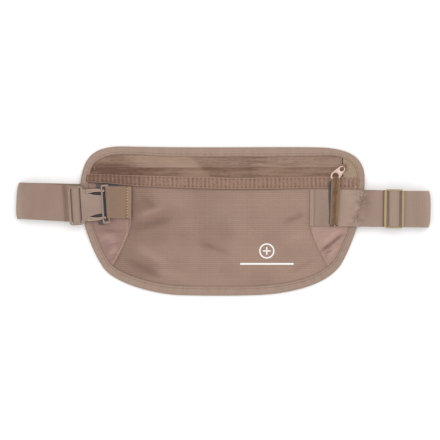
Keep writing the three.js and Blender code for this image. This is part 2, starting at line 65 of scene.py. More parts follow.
# ---------- colours, sRGB 0-255 ----------
COLOURS = {
    "ripstop": (144, 119, 106),
    "hem": (137, 110, 95),
    "backing": (140, 118, 105),
    "lining": (130, 108, 95),
    "binding": (152, 130, 116),
    "satin": (148, 119, 109),
    "upper_zip_tape": (139, 116, 101),
    "lower_zip_tape": (131, 106, 90),
    "zip_tape": (152, 130, 111),
    "zip_coil": (112, 90, 76),
    "ribbon": (121, 91, 68),
    "webbing": (151, 130, 117),
    "tab": (134, 109, 91),
    "plastic": (139, 115, 101),
    # painted highlight on the buckle's rounded edges
    "plastic_edge_highlight": (205, 176, 152),
    # painted shade on the tri-glide's inner walls and underside
    "brass_shaded": (84, 62, 44),
    "brass_edge": (158, 136, 98),
    "metal": (176, 154, 142),
    # painted shade: the slider is dark so that it reads as the shadow round the puller's head
    "bronze_painted_shade": (112, 88, 74),
    "gold_thread": (206, 176, 118),
    "thread": (150, 128, 112),
    "seam_thread": (122, 102, 88),
    "hem_thread": (102, 74, 60),
    "tack_thread": (106, 86, 75),
    "red_thread": (92, 50, 48),
    "piping": (184, 166, 132),
    "print": (240, 238, 235),
}


GAP_SHADOW = (82, 80, 84)  # cloth deep in a narrow gap


def linear(rgb):
    """sRGB 0-255 to the linear colour that the shaders take."""
    def channel(value):
        c = value / 255
        return c / 12.92 if c <= 0.04045 else ((c + 0.055) / 1.055) ** 2.4
    return (*[channel(v) for v in rgb], 1.0)


# ---------- camera and light ----------
VIEW_WIDTH = 448.8  # width of the frame at the belt
VIEW_CENTRE = (-3.6, 0.8)
CAMERA_DISTANCE = 2600.0
WORLD_STRENGTH = 0.87
SENSOR = 36.0


def make_camera():
    data = bpy.data.cameras.new("camera")
    data.sensor_width = SENSOR
    data.lens = SENSOR * CAMERA_DISTANCE / VIEW_WIDTH
    data.clip_end = 100
    camera = bpy.data.objects.new("camera", data)
    bpy.context.scene.collection.objects.link(camera)
    camera.location = Vector((*VIEW_CENTRE, CAMERA_DISTANCE + FRONT_Z)) * MM
    bpy.context.scene.camera = camera


def area_light(name, size, energy, location, colour=(1, 1, 1)):
    data = bpy.data.lights.new(name, "AREA")
    data.shape = "DISK"
    data.size = size
    data.energy = energy
    data.color = colour
    light = bpy.data.objects.new(name, data)
    bpy.context.scene.collection.objects.link(light)
    light.location = location
    light.rotation_mode = "QUATERNION"
    light.rotation_quaternion = (-Vector(location)).to_track_quat("-Z", "Y")


def make_studio():
    scene = bpy.context.scene
    scene.view_settings.view_transform = "Standard"
    world = bpy.data.worlds.new("studio")
    world.use_nodes = True
    background = world.node_tree.nodes["Background"]
    background.inputs["Color"].default_value = (1, 1, 1, 1)
    background.inputs["Strength"].default_value = WORLD_STRENGTH
    scene.world = world
    area_light("key", 1.2, 8.0, (0.3, 0.4, 1.6), (1.0, 0.985, 0.96))
    area_light("fill", 1.2, 3.5, (-0.7, -0.6, 1.4), (0.97, 0.985, 1.0))
    floor_size = 6.0
    bpy.ops.mesh.primitive_plane_add(size=floor_size, location=(0, 0, -0.0002))
    floor = bpy.context.object
    floor.name = "floor"
    floor.data.materials.append(floor_material())


# ---------- shader helpers ----------
class Shader:
    """A new Principled material, with short calls to add and join nodes."""

    def __init__(self, name, roughness, **settings):
        self.material = bpy.data.materials.new(name)
        self.material.use_nodes = True
        self.nodes = self.material.node_tree.nodes
        self.links = self.material.node_tree.links
        self.bsdf = self.nodes["Principled BSDF"]
        self.set(self.bsdf, Roughness=roughness, **settings)

    def set(self, node, **settings):
        for key, value in settings.items():
            node.inputs[key.replace("_", " ")].default_value = value

    def node(self, kind, inputs=(), **properties):
        made = self.nodes.new(kind)
        for key, value in properties.items():
            setattr(made, key, value)
        for key, value in dict(inputs).items():
            self.feed(made.inputs[key], value)
        return made

    def feed(self, socket, value):
        if isinstance(value, bpy.types.NodeSocket):
            self.links.new(value, socket)
        else:
            socket.default_value = value

    def maths(self, operation, a, b=0.5):
        return self.node("ShaderNodeMath", {0: a, 1: b}, operation=operation).outputs[0]

    def mix(self, factor, a, b):
        made = self.node("ShaderNodeMix", data_type="RGBA")
        self.feed(made.inputs[0], factor)
        self.feed(made.inputs[6], a)
        self.feed(made.inputs[7], b)
        return made.outputs[2]

    def object_mm(self):
        """Place on the belt in millimetres."""
        place = self.node("ShaderNodeTexCoord").outputs["Object"]
        return self.node("ShaderNodeVectorMath", {0: place, 3: 1000.0}, operation="SCALE").outputs[0]

    def run_mm(self):
        """Place on a strip in millimetres: along it, across it."""
        return self.node("ShaderNodeAttribute", attribute_name="run").outputs["Vector"]

    def part(self, vector, axis):
        return self.node("ShaderNodeSeparateXYZ", {0: vector}).outputs[axis]

    def depth(self):
        """The piece's third run value: painted shade, -1 in the furrows of its folds and 1 on their ridges,
        lower still in painted shadow.
        """
        return self.part(self.run_mm(), 2)

    def gap(self, colour, depth):
        """Darkens cloth below -1.2, down to the shadow in a closed gap at -3."""
        return self.mix(self.threshold(depth, -1.2, -3.0), colour, linear(GAP_SHADOW))

    def noise(self, place, scale, detail=2.0, roughness=0.5):
        made = self.node("ShaderNodeTexNoise", {
            "Vector": place, "Scale": scale, "Detail": detail, "Roughness": roughness,
        })
        return made.outputs["Fac"]

    def stretched(self, place, scale):
        return self.node("ShaderNodeVectorMath", {0: place, 1: scale}, operation="MULTIPLY").outputs[0]

    def lines(self, place, pitch, axis):
        """0 to 1 waves across the place's X or Y, one per pitch in millimetres."""
        angle = self.maths("MULTIPLY", self.part(place, axis), 2 * math.pi / pitch)
        return self.maths("MULTIPLY_ADD", self.maths("SINE", angle), 0.5)

    def threshold(self, value, low, high):
        made = self.node("ShaderNodeMapRange", {"Value": value, "From Min": low, "From Max": high})
        return made.outputs[0]

    def bump(self, height, distance):
        inputs = {"Height": height, "Distance": distance * MM, "Strength": 1.0}
        return self.node("ShaderNodeBump", inputs).outputs[0]

    def finish(self, colour=None, normal=None, roughness=None):
        for key, value in (("Base Color", colour), ("Normal", normal), ("Roughness", roughness)):
            if value is not None:
                self.feed(self.bsdf.inputs[key], value)
        return self.material


def tone(rgb, factor):
    """A colour made lighter or darker."""
    return linear([min(255, v * factor) for v in rgb])


def floor_material():
    s = Shader("floor_paper", 0.9, Specular_IOR_Level=0.1)
    fine = s.noise(s.object_mm(), 0.02)
    return s.finish(s.mix(fine, (0.955, 0.955, 0.955, 1), (0.98, 0.98, 0.98, 1)))


def cloth_material(name, place, pitch, weave_depth=0.12, mottling=0.05, sheen=0.2, roughness=0.8,
                   grid=0.0, grid_pitch=1.7, folds=0.0):
    """Woven cloth: two crossing thread directions and soft mottling.

    grid adds ripstop lines. folds paints shade into the furrows (-1) and a highlight onto the ridges (1),
    from the piece's third run value; below -1 it paints deeper shade, down to the painted shadow in a
    closed gap (-3).
    """
    rgb = COLOURS[name]
    s = Shader(name, roughness, Sheen_Weight=sheen, Sheen_Roughness=0.45, Specular_IOR_Level=0.25)
    at = s.run_mm() if place == "run" else s.object_mm()
    warp = s.lines(at, pitch[0], 0)
    weft = s.lines(at, pitch[1], 1)
    weave = s.maths("MULTIPLY", warp, weft)
    broad = s.noise(at, 0.035, 3.0, 0.55)
    slub = s.noise(s.stretched(at, (0.12, 1.6, 1.0)), 1.0, 3.0, 0.6)
    slub_up = s.noise(s.stretched(at, (1.6, 0.12, 1.0)), 1.0, 3.0, 0.6)
    colour = s.mix(broad, tone(rgb, 1 - mottling), tone(rgb, 1 + mottling))
    streak = s.maths("ADD", slub, slub_up)
    colour = s.mix(s.threshold(streak, 0.6, 1.4), colour, tone(rgb, 1 + 1.6 * mottling))
    colour = s.mix(s.maths("MULTIPLY", weave, 0.35), colour, tone(rgb, 0.88))
    height = s.maths("ADD", weave, s.maths("MULTIPLY", streak, 0.4))
    if grid:
        across = s.threshold(s.lines(at, grid_pitch, 0), 0.86, 0.98)
        along = s.threshold(s.lines(at, grid_pitch, 1), 0.7, 0.98)
        net = s.maths("MAXIMUM", s.maths("MULTIPLY", across, 0.8), along)
        colour = s.mix(s.maths("MULTIPLY", net, grid), colour, tone(rgb, 1.16))
        height = s.maths("ADD", height, net)
    if folds:
        # painted shade in the furrows, painted highlight on the ridges and painted shadow in closed gaps
        depth = s.depth()
        furrow = s.threshold(depth, 0.0, -1.0)
        ridge = s.threshold(depth, 0.0, 1.0)
        shade = linear([rgb[0] * 0.78, rgb[1] * 0.70, rgb[2] * 0.68])
        colour = s.mix(s.maths("MULTIPLY", furrow, folds), colour, shade)
        colour = s.mix(s.maths("MULTIPLY", ridge, folds), colour, tone(rgb, 1.16))
        colour = s.gap(colour, depth)
    return s.finish(colour, s.bump(height, weave_depth))


def satin_material():
    rgb = COLOURS["satin"]
    s = Shader("satin", 0.5, Sheen_Weight=0.3, Sheen_Roughness=0.3, Specular_IOR_Level=0.35)
    at = s.object_mm()
    threads = s.noise(s.stretched(at, (0.2, 2.6, 1.0)), 1.0, 3.0, 0.6)
    broad = s.noise(at, 0.05, 3.0, 0.5)
    colour = s.mix(broad, tone(rgb, 0.93), tone(rgb, 1.06))
    colour = s.mix(s.threshold(threads, 0.4, 0.75), colour, tone(rgb, 1.16))
    # painted shade in the furrows, painted highlight on the ridges and painted shadow in closed gaps, from
    # the third run value
    depth = s.depth()
    shade = linear([rgb[0] * 0.74, rgb[1] * 0.66, rgb[2] * 0.66])
    colour = s.mix(s.threshold(depth, 0.0, -1.0), colour, shade)
    colour = s.mix(s.maths("MULTIPLY", s.threshold(depth, 0.0, 1.0), 0.8), colour, tone(rgb, 1.16))
    return s.finish(s.gap(colour, depth), s.bump(threads, 0.1))


def plastic_material(name):
    rgb = COLOURS[name]
    s = Shader(name, 0.42, Specular_IOR_Level=0.5, Coat_Weight=0.08)
    at = s.object_mm()
    grain = s.noise(at, 2.2, 4.0, 0.6)
    broad = s.noise(at, 0.12, 2.0)
    scuff = s.threshold(s.noise(s.stretched(at, (0.35, 1.6, 1.0)), 0.8, 5.0, 0.7), 0.58, 0.72)
    colour = s.mix(broad, tone(rgb, 0.95), tone(rgb, 1.05))
    colour = s.mix(s.maths("MULTIPLY", scuff, 0.25), colour, tone(rgb, 1.15))
    rough = s.node("ShaderNodeMapRange", {"Value": grain, "To Min": 0.36, "To Max": 0.56}).outputs[0]
    return s.finish(colour, s.bump(grain, 0.03), rough)


def metal_material(name):
    rgb = COLOURS[name]
    s = Shader(name, 0.28, Metallic=1.0)
    at = s.object_mm()
    brushed = s.noise(s.stretched(at, (0.6, 0.6, 4.0)), 1.8, 4.0, 0.6)
    wear_and_highlight = s.threshold(s.noise(at, 0.7, 5.0, 0.65), 0.56, 0.7)
    colour = s.mix(s.maths("MULTIPLY", wear_and_highlight, 0.4), linear(rgb), tone(rgb, 0.78))
    rough = s.node("ShaderNodeMapRange", {"Value": brushed, "To Min": 0.3, "To Max": 0.5}).outputs[0]
    return s.finish(colour, s.bump(brushed, 0.02), rough)


def thread_material(name):
    rgb = COLOURS[name]
    s = Shader(name, 0.55, Sheen_Weight=0.2, Specular_IOR_Level=0.35)
    at = s.object_mm()
    ply = s.noise(at, 3.5, 2.0)
    colour = s.mix(ply, tone(rgb, 0.85), tone(rgb, 1.12))
    return s.finish(colour, s.bump(ply, 0.08))


def ribbon_material():
    """Ribbed ribbon, with a painted highlight along its edges and painted shade along its folded middle."""
    rgb = COLOURS["ribbon"]
    s = Shader("ribbon", 0.85, Sheen_Weight=0.2, Specular_IOR_Level=0.25)
    at = s.run_mm()
    across = s.maths("ABSOLUTE", s.part(at, 1))
    wear_and_highlight = s.noise(s.stretched(at, (0.12, 0.7, 1.0)), 1.0, 4.0, 0.65)
    ribs = s.lines(at, 0.9, 0)
    edge = s.threshold(across, 2.1, 3.6)
    middle = s.threshold(across, 1.5, 0.3)
    colour = s.mix(s.threshold(wear_and_highlight, 0.35, 0.7), tone(rgb, 0.82), tone(rgb, 1.2))
    # painted highlight along the ribbon's edges
    colour = s.mix(s.maths("MULTIPLY", edge, 0.6), colour, linear((150, 126, 98)))
    # painted shade along the creased middle
    colour = s.mix(s.maths("MULTIPLY", middle, 0.45), colour, linear((88, 62, 46)))
    colour = s.mix(s.maths("MULTIPLY", ribs, 0.2), colour, tone(rgb, 0.8))
    # painted shadow on the strip of the lower layer that shows beside the upper one
    colour = s.gap(colour, s.depth())
    return s.finish(colour, s.bump(s.maths("ADD", ribs, wear_and_highlight), 0.2))


def print_material():
    rgb = COLOURS["print"]
    s = Shader("print_ink", 0.6, Specular_IOR_Level=0.3)
    wear_and_highlight = s.noise(s.object_mm(), 1.6, 4.0, 0.65)
    return s.finish(s.mix(wear_and_highlight, tone(rgb, 0.9), tone(rgb, 1.04)), s.bump(wear_and_highlight, 0.03))


# pitch, depth, mottling, sheen and roughness shared by the zip's tapes
TAPE_WEAVE = ((0.8, 1.3), 0.16, 0.06, 0.15, 0.85)


def make_materials():
    made = {
        "ripstop": cloth_material("ripstop", "object", (0.62, 0.62), mottling=0.045, roughness=0.72,
                                  grid=0.75, grid_pitch=2.1, folds=0.6),
        "hem": cloth_material("hem", "object", (0.62, 0.62), mottling=0.06, roughness=0.72,
                              grid=0.2, grid_pitch=2.1, folds=0.9),
        "backing": cloth_material("backing", "object", (1.1, 0.8), 0.2, 0.06, 0.3, 0.9),
        "lining": cloth_material("lining", "object", (0.7, 0.7), 0.1, 0.05, 0.2, 0.8),
        "binding": cloth_material("binding", "run", (0.95, 2.6), 0.16, 0.035, 0.25, 0.85, folds=0.8),
        "upper_zip_tape": cloth_material("upper_zip_tape", "object", *TAPE_WEAVE, folds=1.0),
        "lower_zip_tape": cloth_material("lower_zip_tape", "object", *TAPE_WEAVE, folds=1.0),
        "zip_tape": cloth_material("zip_tape", "object", *TAPE_WEAVE),
        "zip_coil": cloth_material("zip_coil", "object", (0.9, 0.9), 0.1, 0.05, 0.0, 0.45),
        "piping": cloth_material("piping", "object", (0.9, 0.9), 0.1, 0.06, 0.1, 0.8),
        "webbing": cloth_material("webbing", "run", (1.5, 0.85), 0.22, 0.03, 0.2, 0.85, folds=0.8),
        "tab": cloth_material("tab", "run", (1.5, 0.85), 0.22, 0.04, 0.2, 0.85, folds=0.8),
        "ribbon": ribbon_material(),
        "satin": satin_material(),
        "metal": metal_material("metal"),
        "bronze_painted_shade": metal_material("bronze_painted_shade"),
        "print": print_material(),
    }
    for name in ("plastic", "plastic_edge_highlight", "brass_shaded", "brass_edge"):
        made[name] = plastic_material(name)
    for name in ("gold_thread", "thread", "seam_thread", "hem_thread", "tack_thread", "red_thread"):
        made[name] = thread_material(name)
    return made


make_camera()
make_studio()
MATERIALS = make_materials()


# ---------- mesh helpers ----------
def new_piece(name, verts, faces, material, body="pouch", slot=None, run=None, sharp=50):
    """A smooth-shaded piece from points in millimetres."""
    mesh = bpy.data.meshes.new(name)
    mesh.from_pydata((np.asarray(verts) * MM).tolist(), [], faces)
    mesh.validate()
    mesh.polygons.foreach_set("use_smooth", [True] * len(mesh.polygons))
    mesh.set_sharp_from_angle(angle=math.radians(sharp))
    if run is not None:
        attribute = mesh.attributes.new("run", "FLOAT_VECTOR", "POINT")
        attribute.data.foreach_set("vector", np.asarray(run, dtype=float).ravel())
    mesh.materials.append(MATERIALS[material])
    obj = bpy.data.objects.new(name, mesh)
    bpy.context.scene.collection.objects.link(obj)
    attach(obj, body)
    return obj


def grid_normals(points, wrap=False):
    """Upward normals of a grid of points; wrap where the rows close on themselves."""
    if wrap:
        along = np.roll(points, -1, axis=0) - np.roll(points, 1, axis=0)
    else:
        along = np.gradient(points, axis=0)
    across = np.gradient(points, axis=1)
    normals = np.cross(across, along)
    return normals / np.maximum(np.linalg.norm(normals, axis=2, keepdims=True), 1e-9)


def cloth_piece(name, points, thickness, material, wrap=False, **options):
    """A closed sheet of cloth of even thickness, on a grid of middle points (rows, columns, 3)."""
    rows, columns = points.shape[:2]
    offset = grid_normals(points, wrap) * thickness / 2
    verts = np.concatenate([(points + offset).reshape(-1, 3), (points - offset).reshape(-1, 3)])
    under = rows * columns
    faces = []
    last_row = rows if wrap else rows - 1
    for i in range(last_row):
        here, there = i * columns, (i + 1) % rows * columns
        for j in range(columns - 1):
            quad = (here + j, here + j + 1, there + j + 1, there + j)
            faces.append(quad)
            faces.append(tuple(under + k for k in reversed(quad)))
        for j, turn in ((0, 1), (columns - 1, -1)):
            rim = (here + j, there + j, under + there + j, under + here + j)
            faces.append(rim[::turn])
    if not wrap:
        for row, turn in ((0, -1), (rows - 1, 1)):
            start = row * columns
            for j in range(start, start + columns - 1):
                rim = (j, j + 1, under + j + 1, under + j)
                faces.append(rim[::-turn])
    run = options.pop("run", None)
    if run is not None:
        flat = np.asarray(run, dtype=float).reshape(-1, 3)
        run = np.concatenate([flat, flat])
    obj = new_piece(name, verts, faces, material, run=run, **options)
    fix_outward(obj)
    return obj


def fix_outward(obj):
    work = bmesh.new()
    work.from_mesh(obj.data)
    bmesh.ops.recalc_face_normals(work, faces=work.faces)
    work.to_mesh(obj.data)
    work.free()


def ruled(left, right, rows, columns):
    """Points (rows, columns, 2) on straight lines from left(v) to right(v)."""
    v = np.linspace(0, 1, rows)
    a = np.array([left(t) for t in v])[:, None, :]
    b = np.array([right(t) for t in v])[:, None, :]
    u = np.linspace(0, 1, columns)[None, :, None]
    return a + (b - a) * u


def raised(flat, height):
    """Plan points (rows, columns, 2) lifted to height(x, y)."""
    z = height(flat[..., 0], flat[..., 1])
    return np.concatenate([flat, z[..., None]], axis=2)


def shaded(flat, shade):
    """Run values for a flat-cut piece: its plan place, and its painted shade, -1 in furrows and 1 on
    ridges, lower in painted shadow.
    """
    return np.concatenate([flat, shade[..., None]], axis=2)


def smooth_step(value, low, high):
    t = np.clip((value - low) / (high - low), 0, 1)
    return t * t * (3 - 2 * t)


def travelled(points):
    """Distance along a line of points, at each point."""
    return np.concatenate([[0], np.cumsum(np.linalg.norm(np.diff(points, axis=0), axis=1))])


def points_at(places, run, line):
    """Points on a line at given distances along it."""
    return np.stack([np.interp(places, run, axis) for axis in line.T], axis=1)


def bell(offset, width):
    """1 at an offset of 0, falling smoothly to 0 within about two widths."""
    return np.exp(-((offset / width) ** 2))


def window(value, rises, up, falls, down):
    """Rises from 0 to 1 between rises and up, and falls back to 0 between falls and down."""
    return smooth_step(value, rises, up) * (1 - smooth_step(value, falls, down))


def noise_field(x, y, size, seed):
    """Smooth noise, about -1 to 1, with features of one size in millimetres."""
    flat = [
        noise.noise(Vector((a / size, b / size, seed)))
        for a, b in zip(np.ravel(x), np.ravel(y))
    ]
    return np.array(flat).reshape(np.shape(x))


def crease(x, y, start, end, width, height):
    """A soft ridge (or, with a negative height, a furrow) along a line."""
    a, b = np.array(start, float), np.array(end, float)
    along = b - a
    length = np.linalg.norm(along)
    along /= length
    s = (x - a[0]) * along[0] + (y - a[1]) * along[1]
    off = (x - a[0]) * -along[1] + (y - a[1]) * along[0]
    fades_in = smooth_step(s, -0.1 * length, 0.35 * length)
    fades_out = 1 - smooth_step(s, 0.65 * length, 1.1 * length)
    return height * (fades_in * fades_out) * bell(off, width)


# ---------- pouch outline ----------
OUTLINE_CURVES = [
    [(95, 75.2), (60, 76.0), (-30, 74.2), (-100, 76.1)],
    [(-100, 76.1), (-132, 76.9), (-142.5, 67), (-146, 42)],
    [(-146, 42), (-149, 6), (-136.5, -28.5), (-122.8, -48.2)],
    [(-122.8, -48.2), (-111, -64.5), (-70, -75.6), (-42, -76.2)],
    [(-42, -76.2), (-18, -76.8), (7, -76.9), (31, -76.2)],
    [(31, -76.2), (68, -75.2), (106, -66), (120, -45)],
    [(120, -45), (134, -22), (144, 15), (144.5, 42)],
    [(144.5, 42), (144.5, 63), (133, 74.6), (95, 75.2)],
]
OUTLINE_STEP = 1.3


def even_outline():
    """The pouch outline as evenly spaced points, anticlockwise, and the inward direction at each."""
    t = np.linspace(0, 1, 60, endpoint=False)[:, None]
    dense = np.concatenate([
        sum(w * np.array(p, float) for w, p in zip(
            ((1 - t) ** 3, 3 * t * (1 - t) ** 2, 3 * t * t * (1 - t), t ** 3), curve))
        for curve in OUTLINE_CURVES
    ])
    closed = np.vstack([dense, dense[:1]])
    run = travelled(closed)
    stations = np.linspace(0, run[-1], int(run[-1] / OUTLINE_STEP), endpoint=False)
    points = points_at(stations, run, closed)
    along = np.roll(points, -1, axis=0) - np.roll(points, 1, axis=0)
    along /= np.linalg.norm(along, axis=1, keepdims=True)
    inward = np.stack([-along[:, 1], along[:, 0]], axis=1)
    return points, inward, stations, run[-1]


OUTLINE, INWARD, OUTLINE_RUN, OUTLINE_LENGTH = even_outline()


def edge_distance(x, y):
    """How far inside the pouch outline a point is."""
    place = np.stack([np.ravel(x), np.ravel(y)], axis=1)
    nearest = np.concatenate([
        np.sqrt(((part[:, None, :] - OUTLINE[None]) ** 2).sum(axis=2).min(axis=1))
        for part in np.array_split(place, max(1, len(place) // 2000))
    ])
    return nearest.reshape(np.shape(x))


def side_x(y, inset, side):
    """X of the outline at a height y, moved inwards; side is -1 or 1."""
    moved = OUTLINE + INWARD * inset
    half = moved[moved[:, 0] * side > 20]
    order = np.argsort(half[:, 1])
    return float(np.interp(y, half[order, 1], half[order, 0]))


# ---------- heights of the pouch's faces ----------
PUFF_Z = 7.5  # top of the front cloth in the middle of the pouch
EDGE_HALF = 1.2  # half the thickness of the pinched edge, without the binding
STEEP = (1.5, 9.0)  # distances from the edge: the cloth rises quickly under the binding
GENTLE = (5.0, 26.0)  # and gently beyond it


def rear_middle(x):
    """Middle of the strap's rear run."""
    return STRAP_LEFT_Y + (STRAP_RIGHT_Y - STRAP_LEFT_Y) * (x + FOLD_X) / (2 * FOLD_X)


def over_strap(x, y):
    """1 where the rear run of the strap lies underneath, falling to 0 beside it."""
    return 1 - smooth_step(np.abs(y - rear_middle(x)) - STRAP_WIDTH / 2, 0, 14)


def edge_middle(x, y):
    return 2.2 + 1.9 * over_strap(x, y)


def front_z(x, y, wrinkles=1.0):
    """Top of the front cloth."""
    inside = edge_distance(x, y)
    rise = 0.5 * smooth_step(inside, *STEEP) + 0.5 * smooth_step(inside, *GENTLE)
    z = edge_middle(x, y) + EDGE_HALF
    z = z + (PUFF_Z - z) * rise
    return z + wrinkles * wrinkle_z(x, y) * smooth_step(inside, 5, 16)


# creases: start, end, width and height, furrows being negative
PANEL_CREASES = [
    ((-92, -8), (-52, 2), 3.6, -0.6),
    ((-90, 4), (-60, 14), 3.0, 0.5),
    ((-88, -26), (-58, -44), 4.2, 0.6),
    ((-100, -40), (-62, -58), 3.6, -0.6),
    ((-70, -50), (-30, -60), 3.2, 0.4),
    ((86, 8), (60, -2), 3.0, -0.5),
    ((86, -12), (62, -22), 3.4, 0.5),
    ((94, -40), (66, -54), 3.2, -0.4),
    ((-28, -21), (14, -36), 3.0, -0.35),
    ((66, 22), (80, 4), 2.6, -0.25),
    ((-84, 24), (-68, 12), 3.0, -0.3),
]


def wrinkle_z(x, y):
    """Soft creases of the slack front panel."""
    z = 0.35 * noise_field(x, y * 1.6, 38, 3.1) + 0.16 * noise_field(x, y, 15, 7.7)
    for one in PANEL_CREASES:
        z += crease(x, y, *one)
    return z * (1 - smooth_step(y, 30, 40))


def back_z(x, y):
    """Underside of the back cloth: on the surface, or on the strap where that runs beneath."""
    inside = edge_distance(x, y)
    low = 0.5 + 2.2 * over_strap(x, y)
    edge = edge_middle(x, y) - EDGE_HALF
    return edge + (low - edge) * smooth_step(inside, 3, 14)


# ---------- stitches ----------
def along_path(path, spacing):
    """Evenly spaced points and directions on a line of points (n, 3)."""
    path = np.asarray(path, float)
    run = travelled(path)
    count = max(2, int(round(run[-1] / spacing)))
    places = (np.arange(count) + 0.5) * run[-1] / count
    along = points_at(places + 0.4, run, path) - points_at(places - 0.4, run, path)
    return points_at(places, run, path), along / np.linalg.norm(along, axis=1, keepdims=True)


STITCH_SECTIONS = ((-0.5, 0.35), (-0.3, 0.9), (0.0, 1.0), (0.3, 0.9), (0.5, 0.35))
STITCH_SIDES = 6


def tube_faces(first, rings, sides):
    """Faces of a tube closed at both ends, whose rings of points begin at one index."""
    faces = []
    for ring in range(rings - 1):
        for k in range(sides):
            a = first + ring * sides + k
            b = first + ring * sides + (k + 1) % sides
            faces.append((a, b, b + sides, a + sides))
    last = first + (rings - 1) * sides
    faces.append(tuple(first + k for k in reversed(range(sides))))
    faces.append(tuple(last + k for k in range(sides)))
    return faces


def stitch_mesh(points, along, length, radius):
    """One rounded thread lozenge at each point."""
    verts, faces = [], []
    up = np.array([0.0, 0.0, 1.0])
    for point, direction in zip(points, along):
        side = np.cross(up, direction)
        side /= max(np.linalg.norm(side), 1e-6)
        top = np.cross(direction, side)
        first = len(verts)
        for place, share in STITCH_SECTIONS:
            sink = 2.2 * radius * (2 * place) ** 2
            for k in range(STITCH_SIDES):
                angle = 2 * math.pi * k / STITCH_SIDES
                rim = math.cos(angle) * side + math.sin(angle) * top
                verts.append(point + direction * place * length + rim * radius * share - up * sink)
        faces += tube_faces(first, len(STITCH_SECTIONS), STITCH_SIDES)
    return verts, faces


def stitch_row(name, path, material="thread", pitch=3.2, length=2.5, radius=0.26,
               body="pouch", slot="binding"):
    points, along = along_path(path, pitch)
    verts, faces = stitch_mesh(points, along, length, radius)
    return new_piece(name, verts, faces, material, body=body, slot=slot)


def zigzag_row(name, start, end, amplitude, pitch, material, body="pouch", slot="webbing", radius=0.22):
    """A dense zigzag of thread between two points, such as a bar tack."""
    start, end = np.array(start, float), np.array(end, float)
    length = np.linalg.norm(end - start)
    along = (end - start) / length
    side = np.cross([0, 0, 1.0], along)
    turns = int(length / pitch)
    corners = [start + along * length * k / turns + side * amplitude * (1 if k % 2 else -1)
               for k in range(turns + 1)]
    corners = np.array(corners)
    middles = (corners[1:] + corners[:-1]) / 2
    steps = corners[1:] - corners[:-1]
    sizes = np.linalg.norm(steps, axis=1, keepdims=True)
    verts, faces = stitch_mesh(middles, steps / sizes, float(sizes.mean()), radius)
    return new_piece(name, verts, faces, material, body=body, slot=slot)


# ---------- pouch cloth ----------
POUCH_BOTTOM = -76.2
POUCH_TOP = 75.0
TUCK = 6.0  # how far the cut edges reach under the binding
CLOTH = 0.35
HEM_CLOTH = 0.7
BACKING = 0.6
LINING = 0.25
SATIN = 0.4
FRONT_TOP = 40.5
TAPE_BOTTOM = 40.2
SLIT = 0.08  # half the gap between the two zip tapes
TAB_TOP = 66.4  # top of the tape end over the closed end of the zip


def pouch_rows(low, high, rows, columns, left_limit=-HALF_SPAN):
    """Plan points between the two sides of the pouch, from one height to another."""
    def left(t):
        y = low + (high - low) * t
        return (max(side_x(y, TUCK, -1), left_limit), y)

    def right(t):
        y = low + (high - low) * t
        return (side_x(y, TUCK, 1), y)
    return ruled(left, right, rows, columns)


def front_panel():
    flat = pouch_rows(POUCH_BOTTOM + TUCK, FRONT_TOP, 80, 200)
    points = raised(flat, lambda x, y: front_z(x, y) - CLOTH / 2)
    x, y = flat[..., 0], flat[..., 1]
    # painted shade and highlight following the wrinkles, and a painted shadow under the hem's lower edge
    shade = 1.5 * wrinkle_z(x, y) - 1.6 * bell(y - hem_lower(x) + 0.2, 0.9)
    # painted shadow along the edge of the left wing and the tab
    shade = shade - 1.6 * bell(x + 93.4, 0.9) * smooth_step(y, -2, 4)
    # darker in a broad patch round the middle
    shade = shade - 0.25 * np.exp(-(((x + 15) / 40) ** 2) - ((y + 5) / 38) ** 2)
    # painted shade on the left and painted light on the right, as from the lamp on the right
    shade = shade - 0.6 * (1 - smooth_step(x, -92, -30)) + 0.3 * smooth_step(x, 30, 90)
    obj = cloth_piece("front_panel_cloth", points, CLOTH, "ripstop", run=shaded(flat, shade))
    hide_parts("front_panel")


def back_panel():
    flat = pouch_rows(POUCH_BOTTOM + TUCK, POUCH_TOP - TUCK, 76, 140)
    points = raised(flat, lambda x, y: back_z(x, y) + 0.4 + 0.12 * noise_field(x, y, 20, 2.2))
    obj = cloth_piece("back_panel_cloth", points, BACKING, "backing")
    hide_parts("back_panel")
    lining = raised(flat[::2, ::2], lambda x, y: 0.55 * back_z(x, y) + 0.45 * front_z(x, y, 0))
    obj = cloth_piece("inner_lining_cloth", lining, LINING, "lining")
    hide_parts("inner_lining")


# edges of the hem band; it rises and widens a little towards the buckle side
HEM_LOWER = [
    (-150, 40.2), (-136, 39.3), (-122, 38.6), (-106, 37.2), (-92, 35.6),
    (-44, 33.7), (11, 32.4), (55, 32.8), (87, 33.6), (150, 33.6),
]
HEM_UPPER = [
    (-150, 48.0), (-131, 47.6), (-92, 46.5), (-44, 45.1),
    (11, 43.9), (55, 44.2), (99, 45.1), (150, 44.7),
]


def smoothed(x, corners):
    """Height of a line of corners at x, with the corners rounded off."""
    xs, ys = zip(*corners)
    return sum(share * np.interp(x + step, xs, ys) for step, share in ((-10, 0.25), (0, 0.5), (10, 0.25)))


def hem_lower(x):
    return smoothed(x, HEM_LOWER)


def hem_upper(x):
    return smoothed(x, HEM_UPPER)


HEM_ROWS = (0.14, 0.86)  # stitch rows, as shares of the hem's width
PUCKER_PITCH = 4.2


def pucker_phase(x):
    """The thread draws the cloth up at each stitch; the spacing wanders a little."""
    return 2 * math.pi * x / PUCKER_PITCH + 1.3 * noise_field(x, np.zeros_like(x), 23, 1.3)


def gathers(x, y):
    """Ridges (1) between the stitches and furrows (-1) at them, of uneven height and lean."""
    size = 0.62 + 0.6 * noise_field(x, np.zeros_like(x), 7, 5.3)
    lean = 1.6 * noise_field(x, np.zeros_like(x), 17, 8.1) * (y - 39)
    uneven = 0.75 * noise_field(x + 0.6 * (y - 39), y, 2.6, 3.3)
    return size * np.cos(pucker_phase(x) + 0.3 * lean) + uneven


